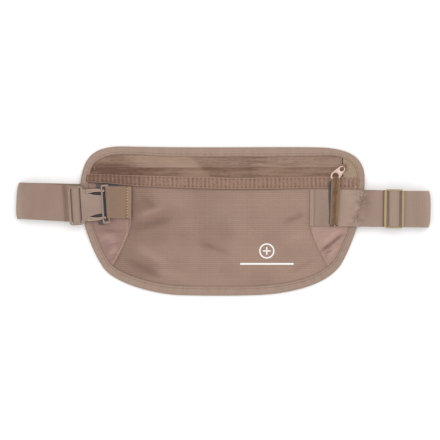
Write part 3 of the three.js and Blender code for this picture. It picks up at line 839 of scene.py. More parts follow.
def hem_profile(x, y, share):
    """Height of the hem over the cloth below, and its painted shade and highlight."""
    belly = np.sin(math.pi * np.clip(share, 0, 1)) ** 0.6
    folds = gathers(x, y) * belly
    rows = sum(bell(share - row, 0.06) for row in HEM_ROWS)
    draw = rows * (0.6 - 0.4 * np.cos(pucker_phase(x)))
    lifted = window(x, -142, -132, -112, -98)
    lip = (0.55 + 0.9 * lifted) * (1 - smooth_step(share, 0, 0.3))
    height = 0.4 + 0.5 * belly + 0.45 * folds - 0.42 * draw + lip
    dusky = 0.8 * (1 - smooth_step(x, -112, -56))
    # painted highlight along the hem's two folded edges
    rim_highlights = 0.8 * (bell(share - 0.97, 0.05) + bell(share - 0.03, 0.04))
    # painted shade in the puckers' furrows and in the dips at the stitch rows, painted highlight on the
    # ridges; darker towards the left end
    return height, 0.65 * folds - 0.8 * draw - dusky + rim_highlights


def hem_band():
    columns, rows = 460, 24
    x = np.linspace(side_x(38, TUCK, -1), side_x(38, TUCK, 1), columns)
    share = np.linspace(0, 1, rows)[:, None]
    y = hem_lower(x) + (hem_upper(x) - hem_lower(x)) * share
    flat = np.stack([np.broadcast_to(x, y.shape), y], axis=2)
    height, shade = hem_profile(flat[..., 0], y, np.broadcast_to(share, y.shape))
    z = front_z(flat[..., 0], y, 0) + height
    points = np.concatenate([flat, z[..., None]], axis=2)
    obj = cloth_piece("hem_band_cloth", points, HEM_CLOTH, "hem", slot="ripstop", run=shaded(flat, shade))
    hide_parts("hem_band")
    fine = np.linspace(x[4], x[-5], 4000)
    phase = pucker_phase(fine)
    holes = np.arange(math.ceil(phase[0] / (2 * math.pi)), math.floor(phase[-1] / (2 * math.pi)))
    at = np.interp((holes + 0.5) * 2 * math.pi, phase, fine)
    for number, row in enumerate(HEM_ROWS):
        line_y = hem_lower(at) + (hem_upper(at) - hem_lower(at)) * row
        above, _ = hem_profile(at, line_y, np.full_like(at, row))
        line_z = front_z(at, line_y, 0) + above + HEM_CLOTH / 2 + 0.08
        points = np.stack([at, line_y, line_z], axis=1)
        verts, faces = stitch_mesh(points, [np.array([1.0, 0.0, 0.0])] * len(points), 1.8, 0.36)
        new_piece(f"hem_stitches_{number + 1}", verts, faces, "hem_thread", slot="ripstop")


BINDING_CLOTH = 0.45
BINDING_SHOWN = 8.5  # usual width of the tape on each face
BINDING_SHARES = (1.0, 0.965, 0.91, 0.86, 0.80, 0.74, 0.70, 0.66, 0.60, 0.5, 0.38, 0.26, 0.15, 0.07, 0.02)
BINDING_STITCH = 0.72  # share of the width at the stitch row
STITCH_PITCH = 2.2


def binding_width():
    """The tape shows wider along the top and bottom, and narrow where it turns the zip's two ends."""
    open_end = np.linalg.norm(OUTLINE - (-100.0, 74.0), axis=1)
    closed_end = np.linalg.norm(OUTLINE - (118.0, 72.0), axis=1)
    narrow = 1.8 * bell(open_end, 27) + 2.4 * bell(closed_end, 20)
    return 7.7 + 1.8 * INWARD[:, 1] ** 2 - narrow


def binding_profile(x, y, share, side):
    """Middle of the folded tape above (side 1) or below (side -1) the panels, and its shade."""
    lift = CLOTH + BINDING_CLOTH / 2
    face = front_z(x, y, 0) + lift if side > 0 else back_z(x, y) - lift + 0.35
    middle = edge_middle(x, y)
    beat = np.cos(2 * math.pi * OUTLINE_RUN / STITCH_PITCH)
    groove = (0.13 - 0.11 * beat) * bell(share - BINDING_STITCH, 0.06)
    ripple = 0.16 * noise_field(OUTLINE_RUN, np.full_like(OUTLINE_RUN, 3 * share), 3.4, 5.1)
    puff = 0.3 * bell(share - 0.4, 0.22)
    round_off = math.sqrt(max(0.0, 1 - (max(0.0, 0.22 - share) / 0.22) ** 2))
    z = middle + (face - middle) * round_off + side * (puff + ripple * (share > 0.3) - groove)
    # painted shade and highlight following the ripple, painted shade in the stitch dips and painted shade
    # over the inner edge's rounding
    return z, 1.6 * ripple - 3.0 * groove - 0.5 * (share > 0.9)


def edge_binding():
    stations = [(share, 1) for share in BINDING_SHARES] + [(0.0, 0)]
    stations += [(share, -1) for share in reversed(BINDING_SHARES)]
    width = binding_width() + 0.3 * noise_field(OUTLINE_RUN, np.zeros_like(OUTLINE_RUN), 24, 6.6)
    columns, runs = [], []
    across = 0.0
    previous = stations[0][0]
    for share, side in stations:
        place = OUTLINE + INWARD * (share * width + BINDING_CLOTH / 2)[:, None]
        if side:
            z, shade = binding_profile(place[:, 0], place[:, 1], share, side)
        else:
            z, shade = edge_middle(place[:, 0], place[:, 1]), 0 * OUTLINE_RUN
        across += BINDING_SHOWN * abs(share - previous) + 0.1
        previous = share
        columns.append(np.stack([place[:, 0], place[:, 1], z], axis=1))
        runs.append(np.stack([OUTLINE_RUN, np.full_like(OUTLINE_RUN, across), shade], axis=1))
    points = np.stack(columns, axis=1)[:, ::-1]
    run = np.stack(runs, axis=1)[:, ::-1]
    obj = cloth_piece("edge_binding_tape", points, BINDING_CLOTH, "binding", wrap=True, run=run)
    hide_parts("edge_binding")
    place = OUTLINE + INWARD * (BINDING_STITCH * width + BINDING_CLOTH / 2)[:, None]
    z, _ = binding_profile(place[:, 0], place[:, 1], BINDING_STITCH, 1)
    path = np.concatenate([place, (z + BINDING_CLOTH / 2 + 0.06)[:, None]], axis=1)
    stitch_row("binding_stitches", path, "seam_thread", STITCH_PITCH, 1.3, 0.26, slot="binding")


# ---------- zip ----------
def tape_folds(x, y):
    """Broad waves of the two tapes: a slack patch on the left, with a slanted end, and dips beyond it."""
    end = -33 + 0.95 * (65 - y) + 1.2 * noise_field(x, y, 7, 2.9)
    slack = smooth_step(x, -118, -60) * (1 - smooth_step(x - end, -6, 3))
    slack = slack * np.where(y > ZIP_Y, 1.0, 0.75 * smooth_step(x, -50, -36))
    dip = smooth_step(x - end, -3, 4) * (1 - smooth_step(x, -6, 30))
    pinch = bell(x - 26, 10)
    far = 0.5 * noise_field(x, 2.2 * y, 24, 6.3)
    return slack - 0.4 * dip - 0.6 * pinch + far - 0.1


def tape_z(x, y, seed):
    """Zip tape: flat, a little wavy away from the coil, and rolled down into it."""
    away = np.abs(y - ZIP_Y)
    free = smooth_step(away, 1.5, 6)
    wave = 0.16 * noise_field(x, y * 2.5, 13, seed) + 0.3 * tape_folds(x, y)
    drag = 0.12 * noise_field(0.25 * x, 2.4 * y, 3.0, seed + 2)
    roll = -0.3 * bell(away, 0.4)
    teeth = 0.05 * np.cos(2 * math.pi * x / 1.27) * bell(away - 1.2, 0.7)
    ridge = 0.12 * bell(away - 1.4, 1.0)
    return front_z(x, y, 0) + (wave + drag) * free + roll + teeth + ridge - 0.05


def tape_shade(x, y, seed):
    away = np.abs(y - ZIP_Y)
    streaks = 0.7 * noise_field(0.12 * x, 2.6 * y, 3.0, seed + 2)
    streaks = streaks + 0.4 * noise_field(0.3 * x, 2.0 * y, 1.2, seed + 5)
    # painted shade along the seam between the tapes
    seam = 0.45 * bell(away, 0.55) * smooth_step(x, -136, -60)
    # painted shadow on the lower tape just below the coil
    below = 0.2 * bell(ZIP_Y - y - 2.0, 1.6) * (y < ZIP_Y)
    dusky = (1 - smooth_step(x, -110, -36)) * (0.25 + 0.7 * (1 - smooth_step(y, 57, 62)))
    # painted shade and highlight following the tapes' waves, random streaks, and darker towards the left
    # end
    return 0.7 * tape_folds(x, y) + streaks - seam - below - dusky


def zip_tapes():
    near = np.array([0.0, 0.4, 0.8, 1.2, 1.7, 2.3, 3.2])
    far_up = np.linspace(4.4, POUCH_TOP - TUCK - ZIP_Y - SLIT, 12)
    far_down = np.linspace(4.4, ZIP_Y - SLIT - TAPE_BOTTOM, 9)
    for name, side, offsets, seed in (
        ("upper_zip_tape", 1, np.concatenate([near, far_up]), 9.1),
        ("lower_zip_tape", -1, np.concatenate([near, far_down]), 4.4),
    ):
        columns = 560
        rows = []
        for offset in offsets:
            y = ZIP_Y + side * (SLIT + offset)
            right = min(ZIP_RIGHT, side_x(y, TUCK, 1))
            across = np.linspace(side_x(y, TUCK, -1), right, columns)
            rows.append(np.stack([across, np.full(columns, y)], axis=1))
        flat = np.array(rows[::side])
        points = raised(flat, lambda x, y, seed=seed: tape_z(x, y, seed) - CLOTH / 2)
        run = shaded(flat, tape_shade(flat[..., 0], flat[..., 1], seed))
        obj = cloth_piece(f"{name}_cloth", points, CLOTH, name, slot="zip_tape", run=run)
        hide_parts(name)
    flat = pouch_rows(TAPE_BOTTOM + 1, TAB_TOP, 24, 16, left_limit=ZIP_RIGHT + 0.9)
    points = raised(flat, lambda x, y: front_z(x, y, 0) + 0.35 + 0.2 * noise_field(x, y, 7, 1.9))
    obj = cloth_piece("zip_end_tab_cloth", points, 0.6, "zip_tape")
    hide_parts("zip_end_tab")


def end_piping():
    """Pale stitched edge that curves round the zip's end tab, and the tack at the hem's end."""
    curve = [curve_point([(122.6, 66.0), (133.5, 64.0), (136.2, 50.0)], t) for t in np.linspace(0, 1, 50)]
    path = [(x, y, float(front_z(x, y, 0)) + 1.0) for x, y in curve]
    stitch_row("end_tab_piping", path, "piping", 0.95, 1.15, 0.85, slot="zip_tape")
    inner = [curve_point([(126.0, 56.0), (129.0, 55.5), (131.0, 53.0)], t) for t in np.linspace(0, 1, 20)]
    path = [(x, y, float(front_z(x, y, 0)) + 0.75) for x, y in inner]
    stitch_row("end_tab_stitches", path, "piping", 0.95, 1.15, 0.4, slot="zip_tape")
    x, y = 135.0, 34.6
    z = float(front_z(x, y, 0)) + 1.9
    zigzag_row("hem_end_tack", (x - 1.2, y, z), (x + 1.2, y, z), 1.0, 0.5, "gold_thread", slot="ripstop")


COIL_PITCH = 1.27
COIL_TURN_POINTS = 10
COIL_SIDES = 5
COIL_WIRE = 0.22  # radius of the monofilament


def zip_coils():
    """Each coil is a flattened spiral of monofilament, sewn under its tape."""
    for name, side in (("upper_zip_coil", 1), ("lower_zip_coil", -1)):
        turns = int((ZIP_RIGHT - ZIP_LEFT) / COIL_PITCH)
        angle = np.linspace(0, 2 * math.pi * turns, turns * COIL_TURN_POINTS)
        x = ZIP_LEFT + COIL_PITCH * angle / (2 * math.pi) + side * COIL_PITCH / 4
        y = ZIP_Y + side * (1.0 + 0.85 * np.cos(angle))
        z = front_z(x, np.full_like(x, ZIP_Y), 0) - 1.15 + 0.28 * np.sin(angle)
        path = np.stack([x, y, z], axis=1)
        along = np.gradient(path, axis=0)
        along /= np.linalg.norm(along, axis=1, keepdims=True)
        side_way = np.cross(along, [1.0, 0, 0])
        side_way /= np.linalg.norm(side_way, axis=1, keepdims=True)
        third = np.cross(along, side_way)
        ring = 2 * math.pi * np.arange(COIL_SIDES) / COIL_SIDES
        sideways = np.cos(ring)[None, :, None] * side_way[:, None]
        upwards = np.sin(ring)[None, :, None] * third[:, None]
        verts = path[:, None] + COIL_WIRE * (sideways + upwards)
        faces = tube_faces(0, len(path), COIL_SIDES)
        obj = new_piece(f"{name}_spiral", verts.reshape(-1, 3), faces, "zip_coil")
        fix_outward(obj)
        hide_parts(name)


# ---------- wings ----------
WING_LIFT = 0.55
UNDER_BINDING = 0.1  # the wing's lift where the binding covers it


def curve_point(control, t):
    a, b, c = (np.array(p, float) for p in control)
    return a * (1 - t) ** 2 + b * 2 * t * (1 - t) + c * t * t


def wing_edge(side):
    """The wing's free edge from its tip up to the hem, as a line of plan points."""
    if side < 0:
        curve = [(-117.0, -53.0), (-96.0, -19.0), (-94.2, 0.0)]
        top = (-93.8, 39.5)
    else:
        curve = [(112.0, -56.0), (93.0, -26.0), (88.2, -5.0)]
        top = (88.0, 34.5)
    low = [curve_point(curve, t) for t in np.linspace(0.08, 1, 40)]
    high = [np.array(curve[2]) + (np.array(top) - curve[2]) * t for t in np.linspace(0, 1, 30)[1:]]
    return np.array(low + high)


def offset_line(line, distance):
    """A plan line moved sideways by one distance, or by one for each point."""
    along = np.gradient(line, axis=0)
    along /= np.linalg.norm(along, axis=1, keepdims=True)
    return line + np.stack([-along[:, 1], along[:, 0]], axis=1) * np.reshape(distance, (-1, 1))


# creases in each wing, given as for the panel
WING_CREASES = {
    1: [
        ((97, -33), (124, -12), 2.5, -1.1),
        ((100, -25), (120, -9), 3.2, 0.8),
        ((106, -38), (118, -26), 2.2, 0.7),
        ((103, -34), (112, -30), 1.2, -0.6),
    ],
    -1: [
        ((-128, -14), (-108, -22), 4.0, 0.5),
        ((-127, -8), (-100, -12), 2.2, -0.5),
        ((-118, -34), (-108, -28), 2.4, 0.8),
        ((-120, -26), (-106, -22), 1.6, -0.5),
    ],
}


def wing_folds(x, y, side):
    folds = sum(crease(x, y, *one) for one in WING_CREASES[side])
    fine = 0.25 * noise_field(0.6 * x, 1.6 * y, 7, 8.8 + side)
    return (folds + fine) * (1 - smooth_step(y, -9, -4))


def gap_shade(x, y):
    """Painted shadow in the gaps round the buckle: under it, beside the receiver's ends, and under the
    lifted hem.
    """
    c, s = math.cos(BUCKLE_YAW), math.sin(BUCKLE_YAW)
    u = (x - BUCKLE_AT[0]) * c + (y - BUCKLE_AT[1]) * s
    v = np.abs((y - BUCKLE_AT[1]) * c - (x - BUCKLE_AT[0]) * s)
    under = window(u, -15, -13, 7, 9) * (1 - smooth_step(v, 15.0, 16.0))
    under = under * np.maximum(smooth_step(u, -4, -1), smooth_step(v, 8, 11))
    beside = window(u, -5.5, -3.5, -0.5, 3) * (1 - smooth_step(v, 19.6, 21))
    flap = window(x, -133, -118, -112, -103)
    below_hem = smooth_step(y - hem_lower(x), -2.4 * flap - 0.9, -2.0 * flap - 0.4)
    return -3.2 * np.maximum(np.maximum(under, beside), below_hem)


def wing_z(x, y, side):
    edge = wing_edge(side)
    edge_x = np.interp(y, edge[:, 1], edge[:, 0])
    inside = (x - edge_x) * side
    rim = 2.6 if side < 0 else 1.4
    fold = 0.4 * (1 - smooth_step(inside, 0.6 * rim, 1.2 * rim))
    seam = -0.25 * bell(inside - 1.5 * rim, 0.7)
    calm = 1 - smooth_step(y, -12, -4)
    tucked = 0.75 * smooth_step(y - hem_lower(x), -3.0, -0.5)
    lift = WING_LIFT + fold + seam + 0.4 * wing_folds(x, y, side) - tucked
    clear = smooth_step(edge_distance(x, y), 8.2, 11.5)
    return front_z(x, y, 0.5 * calm) + UNDER_BINDING + (lift - UNDER_BINDING) * clear


def wing(name, side):
    edge = wing_edge(side)
    rows = len(edge)

    def outer(t):
        y = edge[int(round(t * (rows - 1))), 1]
        return (side_x(y, TUCK, side), y)

    def inner(t):
        return tuple(edge[int(round(t * (rows - 1)))])
    flat = ruled(outer, inner, rows, 60) if side < 0 else ruled(inner, outer, rows, 60)
    points = raised(flat, lambda x, y: wing_z(x, y, side))
    # painted shade and highlight following the wing's creases, painted lighter on the right wing and darker
    # on the left
    shade = (0.85 + 0.25 * side) * wing_folds(flat[..., 0], flat[..., 1], side) + 0.3 * side - 0.05
    # darker low on the right wing
    shade = shade - 0.3 * (side > 0) * (1 - smooth_step(flat[..., 1], -36, -22))
    # painted shadow round the buckle, on the left wing
    run = shaded(flat, shade + (gap_shade(flat[..., 0], flat[..., 1]) if side < 0 else 0))
    obj = cloth_piece(f"{name}_satin", points, SATIN, "satin", run=run)
    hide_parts(name)
    if side < 0:
        inset = 1.7 + 2.6 * smooth_step(edge[:, 1], -16, 2)
        limits = (-44, 2.5)
    else:
        inset = np.full(len(edge), 1.7)
        limits = (-46, -5.5)
    seam = offset_line(edge, -side * inset)
    seam = seam[(seam[:, 1] > limits[0]) & (seam[:, 1] < limits[1])]
    z = wing_z(seam[:, 0], seam[:, 1], side) + 0.34
    path = np.concatenate([seam, z[:, None]], axis=1)
    if side < 0:
        stitch_row(f"{name}_stitches", path, "gold_thread", 2.3, 1.9, 0.42, slot="satin")
    else:
        stitch_row(f"{name}_stitches", path, "piping", 1.9, 1.8, 0.36, slot="satin")


front_panel()
back_panel()
hem_band()
edge_binding()
zip_tapes()
end_piping()
zip_coils()
wing("left_wing", -1)
wing("right_wing", 1)


# ---------- webbing strips ----------
def strip_grid(centres, across, width, columns=17):
    """Middle surface of a flat strip, and its run: millimetres along and across."""
    centres = np.asarray(centres, float)
    across = np.asarray(across, float)
    across = across / np.linalg.norm(across, axis=1, keepdims=True)
    share = np.linspace(-0.5, 0.5, columns)
    width = np.broadcast_to(np.asarray(width, float), (len(centres),))
    points = centres[:, None] + across[:, None] * (share[None, :, None] * width[:, None, None])
    distance = travelled(centres)
    run = np.zeros_like(points)
    run[..., 0] = distance[:, None]
    run[..., 1] = share[None] * width[:, None]
    return points, run, distance[-1]


def strip_piece(name, centres, across, width, thickness, material, columns=17, ripple=0.0, shade=0.0,
                reshape=None, **options):
    """A strip of cloth; shade is its third run value, for each station or each point."""
    points, run, length = strip_grid(centres, across, width, columns)
    run[..., 2] = shade
    if reshape is not None:
        points = reshape(points, run)
    if ripple:
        points[..., 2] += ripple * noise_field(run[..., 0], run[..., 1], 26, 4.4)
    obj = cloth_piece(name, points, thickness, material, run=run, **options)
    return obj, length


def resampled(points, spacing):
    """A smooth line through points (n, 3), evenly spaced."""
    points = np.asarray(points, float)
    run = travelled(points)
    return points_at(np.linspace(0, run[-1], int(run[-1] / spacing) + 2), run, points)


def softened_line(points, passes=12):
    """Rounds the corners of an evenly spaced line, keeping its ends."""
    line = points.copy()
    for _ in range(passes):
        line[1:-1] = (line[:-2] + 2 * line[1:-1] + line[2:]) / 4
    return line


def right_middle(x):
    t = (x - STRAP_SEWN[0]) / (FOLD_X - STRAP_SEWN[0])
    return STRAP_SEWN[1] + (STRAP_RIGHT_Y - STRAP_SEWN[1]) * t


def left_middle(x):
    t = (x + FOLD_X) / (STRAP_BUCKLE[0] + FOLD_X)
    return STRAP_LEFT_Y + (STRAP_BUCKLE[1] - STRAP_LEFT_Y) * t


SEWN_Z = 9.35  # middle of the strap where it is sewn on the wing
SEWN_LENGTH = 34.0
FREE_X = 158.0  # from here on the strap lies at its full height
STRAP_STEP = 1.5
FOLD_TURNS = np.linspace(0, math.pi, 15)


def strap_line(depth, start):
    """Middle line of one layer of the strap: front right, round the folds, to the buckle."""
    radius = FOLD_RADIUS - depth
    middle = REAR_Z + FOLD_RADIUS
    line = []
    for x in np.arange(start, FOLD_X, STRAP_STEP):
        rise = smooth_step(x, STRAP_SEWN[0] + SEWN_LENGTH, FREE_X)
        z = middle + radius
        line.append((x, right_middle(x), z if depth else SEWN_Z + (z - SEWN_Z) * rise))
    for turn in FOLD_TURNS:
        line.append((FOLD_X + radius * math.sin(turn), STRAP_RIGHT_Y, middle + radius * math.cos(turn)))
    for x in np.arange(FOLD_X - STRAP_STEP, -FOLD_X, -STRAP_STEP):
        line.append((x, rear_middle(x), middle - radius))
    for turn in FOLD_TURNS:
        line.append((-FOLD_X - radius * math.sin(turn), STRAP_LEFT_Y, middle - radius * math.cos(turn)))
    for x in np.arange(-FOLD_X + STRAP_STEP, STRAP_BUCKLE[0], STRAP_STEP):
        line.append((x, left_middle(x), middle + radius))
    return np.array(line)


def strap_across(line):
    """Across direction of the strap: square to its run seen from above."""
    yaw_rear = math.atan2(STRAP_RIGHT_Y - STRAP_LEFT_Y, 2 * FOLD_X)
    yaw_left = math.atan2(STRAP_BUCKLE[1] - STRAP_LEFT_Y, FOLD_X + STRAP_BUCKLE[0])
    low, high = REAR_Z + 1.5, FRONT_Z - 3.0
    front = smooth_step(line[:, 2], low, high)
    front_yaw = np.where(line[:, 0] > 0, YAW_RIGHT, yaw_left)
    yaw = yaw_rear + (front_yaw - yaw_rear) * front
    return np.stack([-np.sin(yaw), np.cos(yaw), 0 * yaw], axis=1)


def bowed_folds(points, run):
    """At its two folds the strap bulges outwards in the middle and draws in at its edges."""
    share = np.abs(run[..., 1]) / (STRAP_WIDTH / 2)
    near_fold = smooth_step(np.abs(points[..., 0]), FOLD_X - 8, FOLD_X + 2)
    points[..., 0] += np.sign(points[..., 0]) * near_fold * (0.5 - 1.9 * share ** 4)
    return points


def strap_shade(points):
    """Painted shade and highlight: puckers beside the bar tack, highlights on the fold ends, shadows beside
    the buckle and the tri-glide, and the rolled sewn end.
    """
    x, y = points[..., 0], points[..., 1]
    front = points[..., 2] > REAR_Z + FOLD_RADIUS
    tack = 138.0 + (y - 14) * 0.26
    near_tack = bell(x - tack, 9)
    # painted shade and highlight for the puckers by the tack, and painted shade beyond it
    puckers = 1.1 * near_tack * noise_field(0.45 * x, y, 3.2, 5.5)
    beyond = -0.45 * smooth_step(x - tack, -1, 2) * (1 - smooth_step(x - tack, 3, 16))
    # painted highlight on the two fold ends
    wear_and_highlight = 0.5 * smooth_step(np.abs(x), FOLD_X - 1.5, FOLD_X + 3)
    # painted shadows beside the buckle's ladder frame and the tri-glide
    by_buckle = 0.8 * bell(x + 160.6 + 0.06 * y, 2.0)
    by_triglide = 1.5 * bell(x - 163.4, 1.1)
    beside = -by_buckle - by_triglide
    # painted highlight on the rolled sewn end, painted shade just past it
    rolled = 0.6 * bell(x - 90.2, 1.2) - 0.5 * bell(x - 92.6, 0.6)
    # lighter between x 106 and the tack, darker before x 106
    taut = 0.45 * smooth_step(x, 106, 118) * (1 - smooth_step(x - tack, -8, -1))
    taut = taut - 0.25 * (1 - smooth_step(x, 100, 110))
    patches = 0.25 * noise_field(x, 0.35 * y, 12, 9.9)
    return front * (puckers + beyond + beside + taut + rolled) + wear_and_highlight + patches


def elastic_strap():
    for name, node, depth, start, rests_on in (
        ("elastic_strap_webbing", "elastic_strap", 0.0, STRAP_SEWN[0], ["floor", "right_wing_satin"]),
        ("strap_return_webbing", "elastic_strap_return", 1.3, TRIGLIDE_X, ["elastic_strap_webbing"]),
    ):
        line = strap_line(depth, start)
        width = np.full(len(line), STRAP_WIDTH)
        width[0] -= 1.2
        across = strap_across(line)
        points, _, _ = strip_grid(line, across, width)
        obj, length = strip_piece(name, line, across, width, WEBBING, "webbing", slot="webbing",
                                  shade=strap_shade(points), reshape=bowed_folds)
        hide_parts(node)


def strap_top(x):
    """Height of the strap's upper face between its sewn end and the tri-glide."""
    rise = float(smooth_step(x, STRAP_SEWN[0] + SEWN_LENGTH, FREE_X))
    return SEWN_Z + (FRONT_Z - SEWN_Z) * rise + WEBBING / 2


TACK_STITCHES = 58


def strap_sewing():
    """Stitched end of the strap, and the wide bar tack where it leaves the pouch."""
    half = STRAP_WIDTH / 2 - 1.6
    x0 = STRAP_SEWN[0] + 3.4
    end = [(x0, STRAP_SEWN[1] + half * t, strap_top(x0) + 0.1) for t in np.linspace(-1, 1, 30)]
    stitch_row("strap_end_stitches", end, "thread", 2.7, 2.1, 0.24, slot="webbing")
    low, high = np.array([134.3, -2.4]), np.array([142.5, 30.4])
    centres, ways = [], []
    for k in range(TACK_STITCHES):
        place = low + (high - low) * (k + 0.5) / TACK_STITCHES
        x = place[0] + 5.5 * noise.noise(Vector((k * 1.37, 4.1, 0.7)))
        y = place[1] + 1.2 * noise.noise(Vector((k * 1.91, 1.7, 3.3)))
        turn = math.radians(-12 + 70 * noise.noise(Vector((k * 0.91, 9.3, 2.2))))
        centres.append((x, y, strap_top(x) + 0.04))
        ways.append((math.cos(turn), math.sin(turn), 0.0))
    verts, faces = stitch_mesh(np.array(centres), np.array(ways), 1.7, 0.3)
    new_piece("strap_bar_tack", verts, faces, "tack_thread", slot="webbing")


HUMP_FOOT = -0.9  # heights of the webbing in the slits and over the bar, from the fitting's base
HUMP_TOP = 2.8


def hump_line(half):
    """Side view of webbing over a middle bar, from slit to slit: length and height."""
    turns = np.linspace(0, math.pi, 60)
    rise = HUMP_TOP - HUMP_FOOT
    arc = [(-half * math.cos(t), 0, HUMP_FOOT + rise * math.sin(t) ** 0.7) for t in turns]
    return softened_line(resampled(arc, 0.35), 3)


def webbing_hump(name, node, middle, yaw, half, body, brightness):
    line = hump_line(half)
    turned = line.copy()
    turned[:, 0] = middle[0] + line[:, 0] * math.cos(yaw)
    turned[:, 1] = middle[1] + line[:, 0] * math.sin(yaw)
    turned[:, 2] = FITTING_Z + line[:, 2]
    across = np.tile([-math.sin(yaw), math.cos(yaw), 0.0], (len(line), 1))
    # painted shade where the hump dips into the slits; brightness paints the whole hump lighter or darker
    shade = brightness - 1.1 * (np.abs(line[:, 0]) / half) ** 4
    obj, length = strip_piece(name, turned, across, STRAP_WIDTH - 1.0, WEBBING, "webbing", body=body,
                              shade=shade[:, None])
    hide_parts(node)


def in_buckle(x, y):
    """A plan place given in the buckle's own frame."""
    c, s = math.cos(BUCKLE_YAW), math.sin(BUCKLE_YAW)
    return (BUCKLE_AT[0] + x * c - y * s, BUCKLE_AT[1] + x * s + y * c)


LOOP_BAR_X = 6.6
TAB_WIDTH = 32.6
TAB_END = 29.8


def tab_webbing():
    """Webbing round the receiver's bar, both ends sewn on the left wing."""
    bar_z = FITTING_Z + 1.0
    wrap = 1.2 + 0.3 + WEBBING / 2
    low, high = 9.35, 10.5
    points = [(TAB_END, low), (22.0, low), (15.0, low + 0.2)]
    for turn in np.linspace(0.2, 2.9, 14):
        points.append((LOOP_BAR_X - wrap * math.sin(turn), bar_z - wrap * math.cos(turn)))
    points += [(13.5, high + 1.0), (19.0, high + 0.15), (TAB_END, high)]
    side = softened_line(resampled([(x, 0, z) for x, z in points], 0.6), 3)
    line = np.array([(*in_buckle(x, -2.2 * x / TAB_END + 2.2), z) for x, _, z in side])
    yaw = BUCKLE_YAW * (1 - smooth_step(side[:, 0], 6, 26))
    across = np.stack([-np.sin(yaw), np.cos(yaw), 0 * yaw], axis=1)
    # painted highlight on the folded end beyond the stitches, painted shade along the stitch line
    beyond_seam = smooth_step(side[:, 0], TAB_END - 4.2, TAB_END - 3.2)
    pressed = bell(side[:, 0] - TAB_END + 4.0, 0.9)
    shade = (0.8 * beyond_seam - 0.9 * pressed) * (side[:, 2] > bar_z - 2.8)
    obj, length = strip_piece("tab_webbing_loop", line, across, TAB_WIDTH, WEBBING, "tab", slot="webbing",
                              shade=shade[:, None])
    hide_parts("tab_webbing")
    x = in_buckle(TAB_END - 4.0, 0)[0]
    middle = line[-1][1]
    half = TAB_WIDTH / 2 - 0.9
    path = [(x, middle + half * t, high + WEBBING / 2 + 0.2) for t in np.linspace(-1, 1, 30)]
    stitch_row("tab_stitches", path, "gold_thread", 2.9, 2.2, 0.46, slot="webbing")


# ---------- fittings ----------
def cleaned_copy(node, name):
    """A copy of a CAD node's mesh, with its flat faces whole."""
    mesh = bpy.data.objects[node].data.copy()
    mesh.name = name
    work = bmesh.new()
    work.from_mesh(mesh)
    bmesh.ops.remove_doubles(work, verts=work.verts, dist=1e-6)
    bmesh.ops.dissolve_limit(work, angle_limit=math.radians(1), verts=work.verts, edges=work.edges)
    work.to_mesh(mesh)
    work.free()
    return mesh


def shade_inner_walls(mesh, rim):
    """Gives the edge material to the top and to what lies within the rim width of the outside; the inner
    walls and underside get the first material, on the tri-glide painted shade.
    """
    points = np.array([v.co for v in mesh.vertices])
    low, high = points.min(axis=0) + rim * MM, points.max(axis=0) - rim * MM
    for face in mesh.polygons:
        inside = all(low[k] < face.center[k] < high[k] for k in (0, 1))
        face.material_index = 0 if inside and face.normal.z < 0.9 else 1


def softened(node, name, material, edge, bevel, body, rim=None):
    """A copy of a CAD fitting with its edges rounded and given the edge material, on the buckle a painted
    highlight.

    With a rim width, its top and the edges round its outside get the edge material instead, and its inner
    walls and underside the first, on the tri-glide painted shade.
    """
    mesh = cleaned_copy(node, name)
    mesh.materials.clear()
    mesh.materials.append(MATERIALS[material])
    mesh.materials.append(MATERIALS[edge])
    obj = bpy.data.objects.new(name, mesh)
    bpy.context.scene.collection.objects.link(obj)
    rounding = obj.modifiers.new("rounding", "BEVEL")
    rounding.width = bevel * MM
    rounding.segments = 3
    rounding.material = 1
    rounding.limit_method = "ANGLE"
    rounding.angle_limit = math.radians(35)
    rounding.use_clamp_overlap = True
    graph = bpy.context.evaluated_depsgraph_get()
    made = bpy.data.meshes.new_from_object(obj.evaluated_get(graph))
    obj.modifiers.clear()
    obj.data = made
    made.polygons.foreach_set("use_smooth", [True] * len(made.polygons))
    made.set_sharp_from_angle(angle=math.radians(40))
    if rim is not None:
        shade_inner_walls(made, rim)
    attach(obj, body)
    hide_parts(node)


def fittings():
    # the buckle's rounded edges get a painted highlight
    edge = "plastic_edge_highlight"
    # the tri-glide's inner walls and underside get painted shade
    softened("triglide", "triglide_frame", "brass_shaded", "brass_edge", 1.1, "adjuster",
             rim=2.0)
    softened("buckle_plate", "buckle_plate_body", "plastic", edge, 0.45, "plate")
    softened("buckle_receiver", "buckle_receiver_body", "plastic", edge, 0.5, "pouch")
    softened("latch_arm_upper", "latch_arm_upper_body", "plastic", edge, 0.45, "upper_arm")
    softened("latch_arm_lower", "latch_arm_lower_body", "plastic", edge, 0.45, "lower_arm")
    # painted shade: the slider is dark, standing in for the shadow round the puller's head
    softened("zip_slider", "zip_slider_body", "bronze_painted_shade", "bronze_painted_shade", 0.3, "slider")
    softened("zip_puller", "zip_puller_body", "metal", "metal", 0.3, "puller")
    softened("zip_open_stop", "zip_open_stop_body", "zip_coil", "zip_coil", 0.2, "pouch")


# ---------- pull ribbon ----------
RIBBON_LOW = -4.4  # free end
RIBBON_RING = 42.3  # where it turns over the ring of the puller's tail
RIBBON_COLUMNS = 11


def ribbon_edges(y):
    """X of the ribbon's two edges at a height y."""
    share = np.clip((y - RIBBON_LOW) / (RIBBON_RING - RIBBON_LOW), 0, 1)
    return 108.6 + 1.3 * share, 116.4 + 2.7 * share


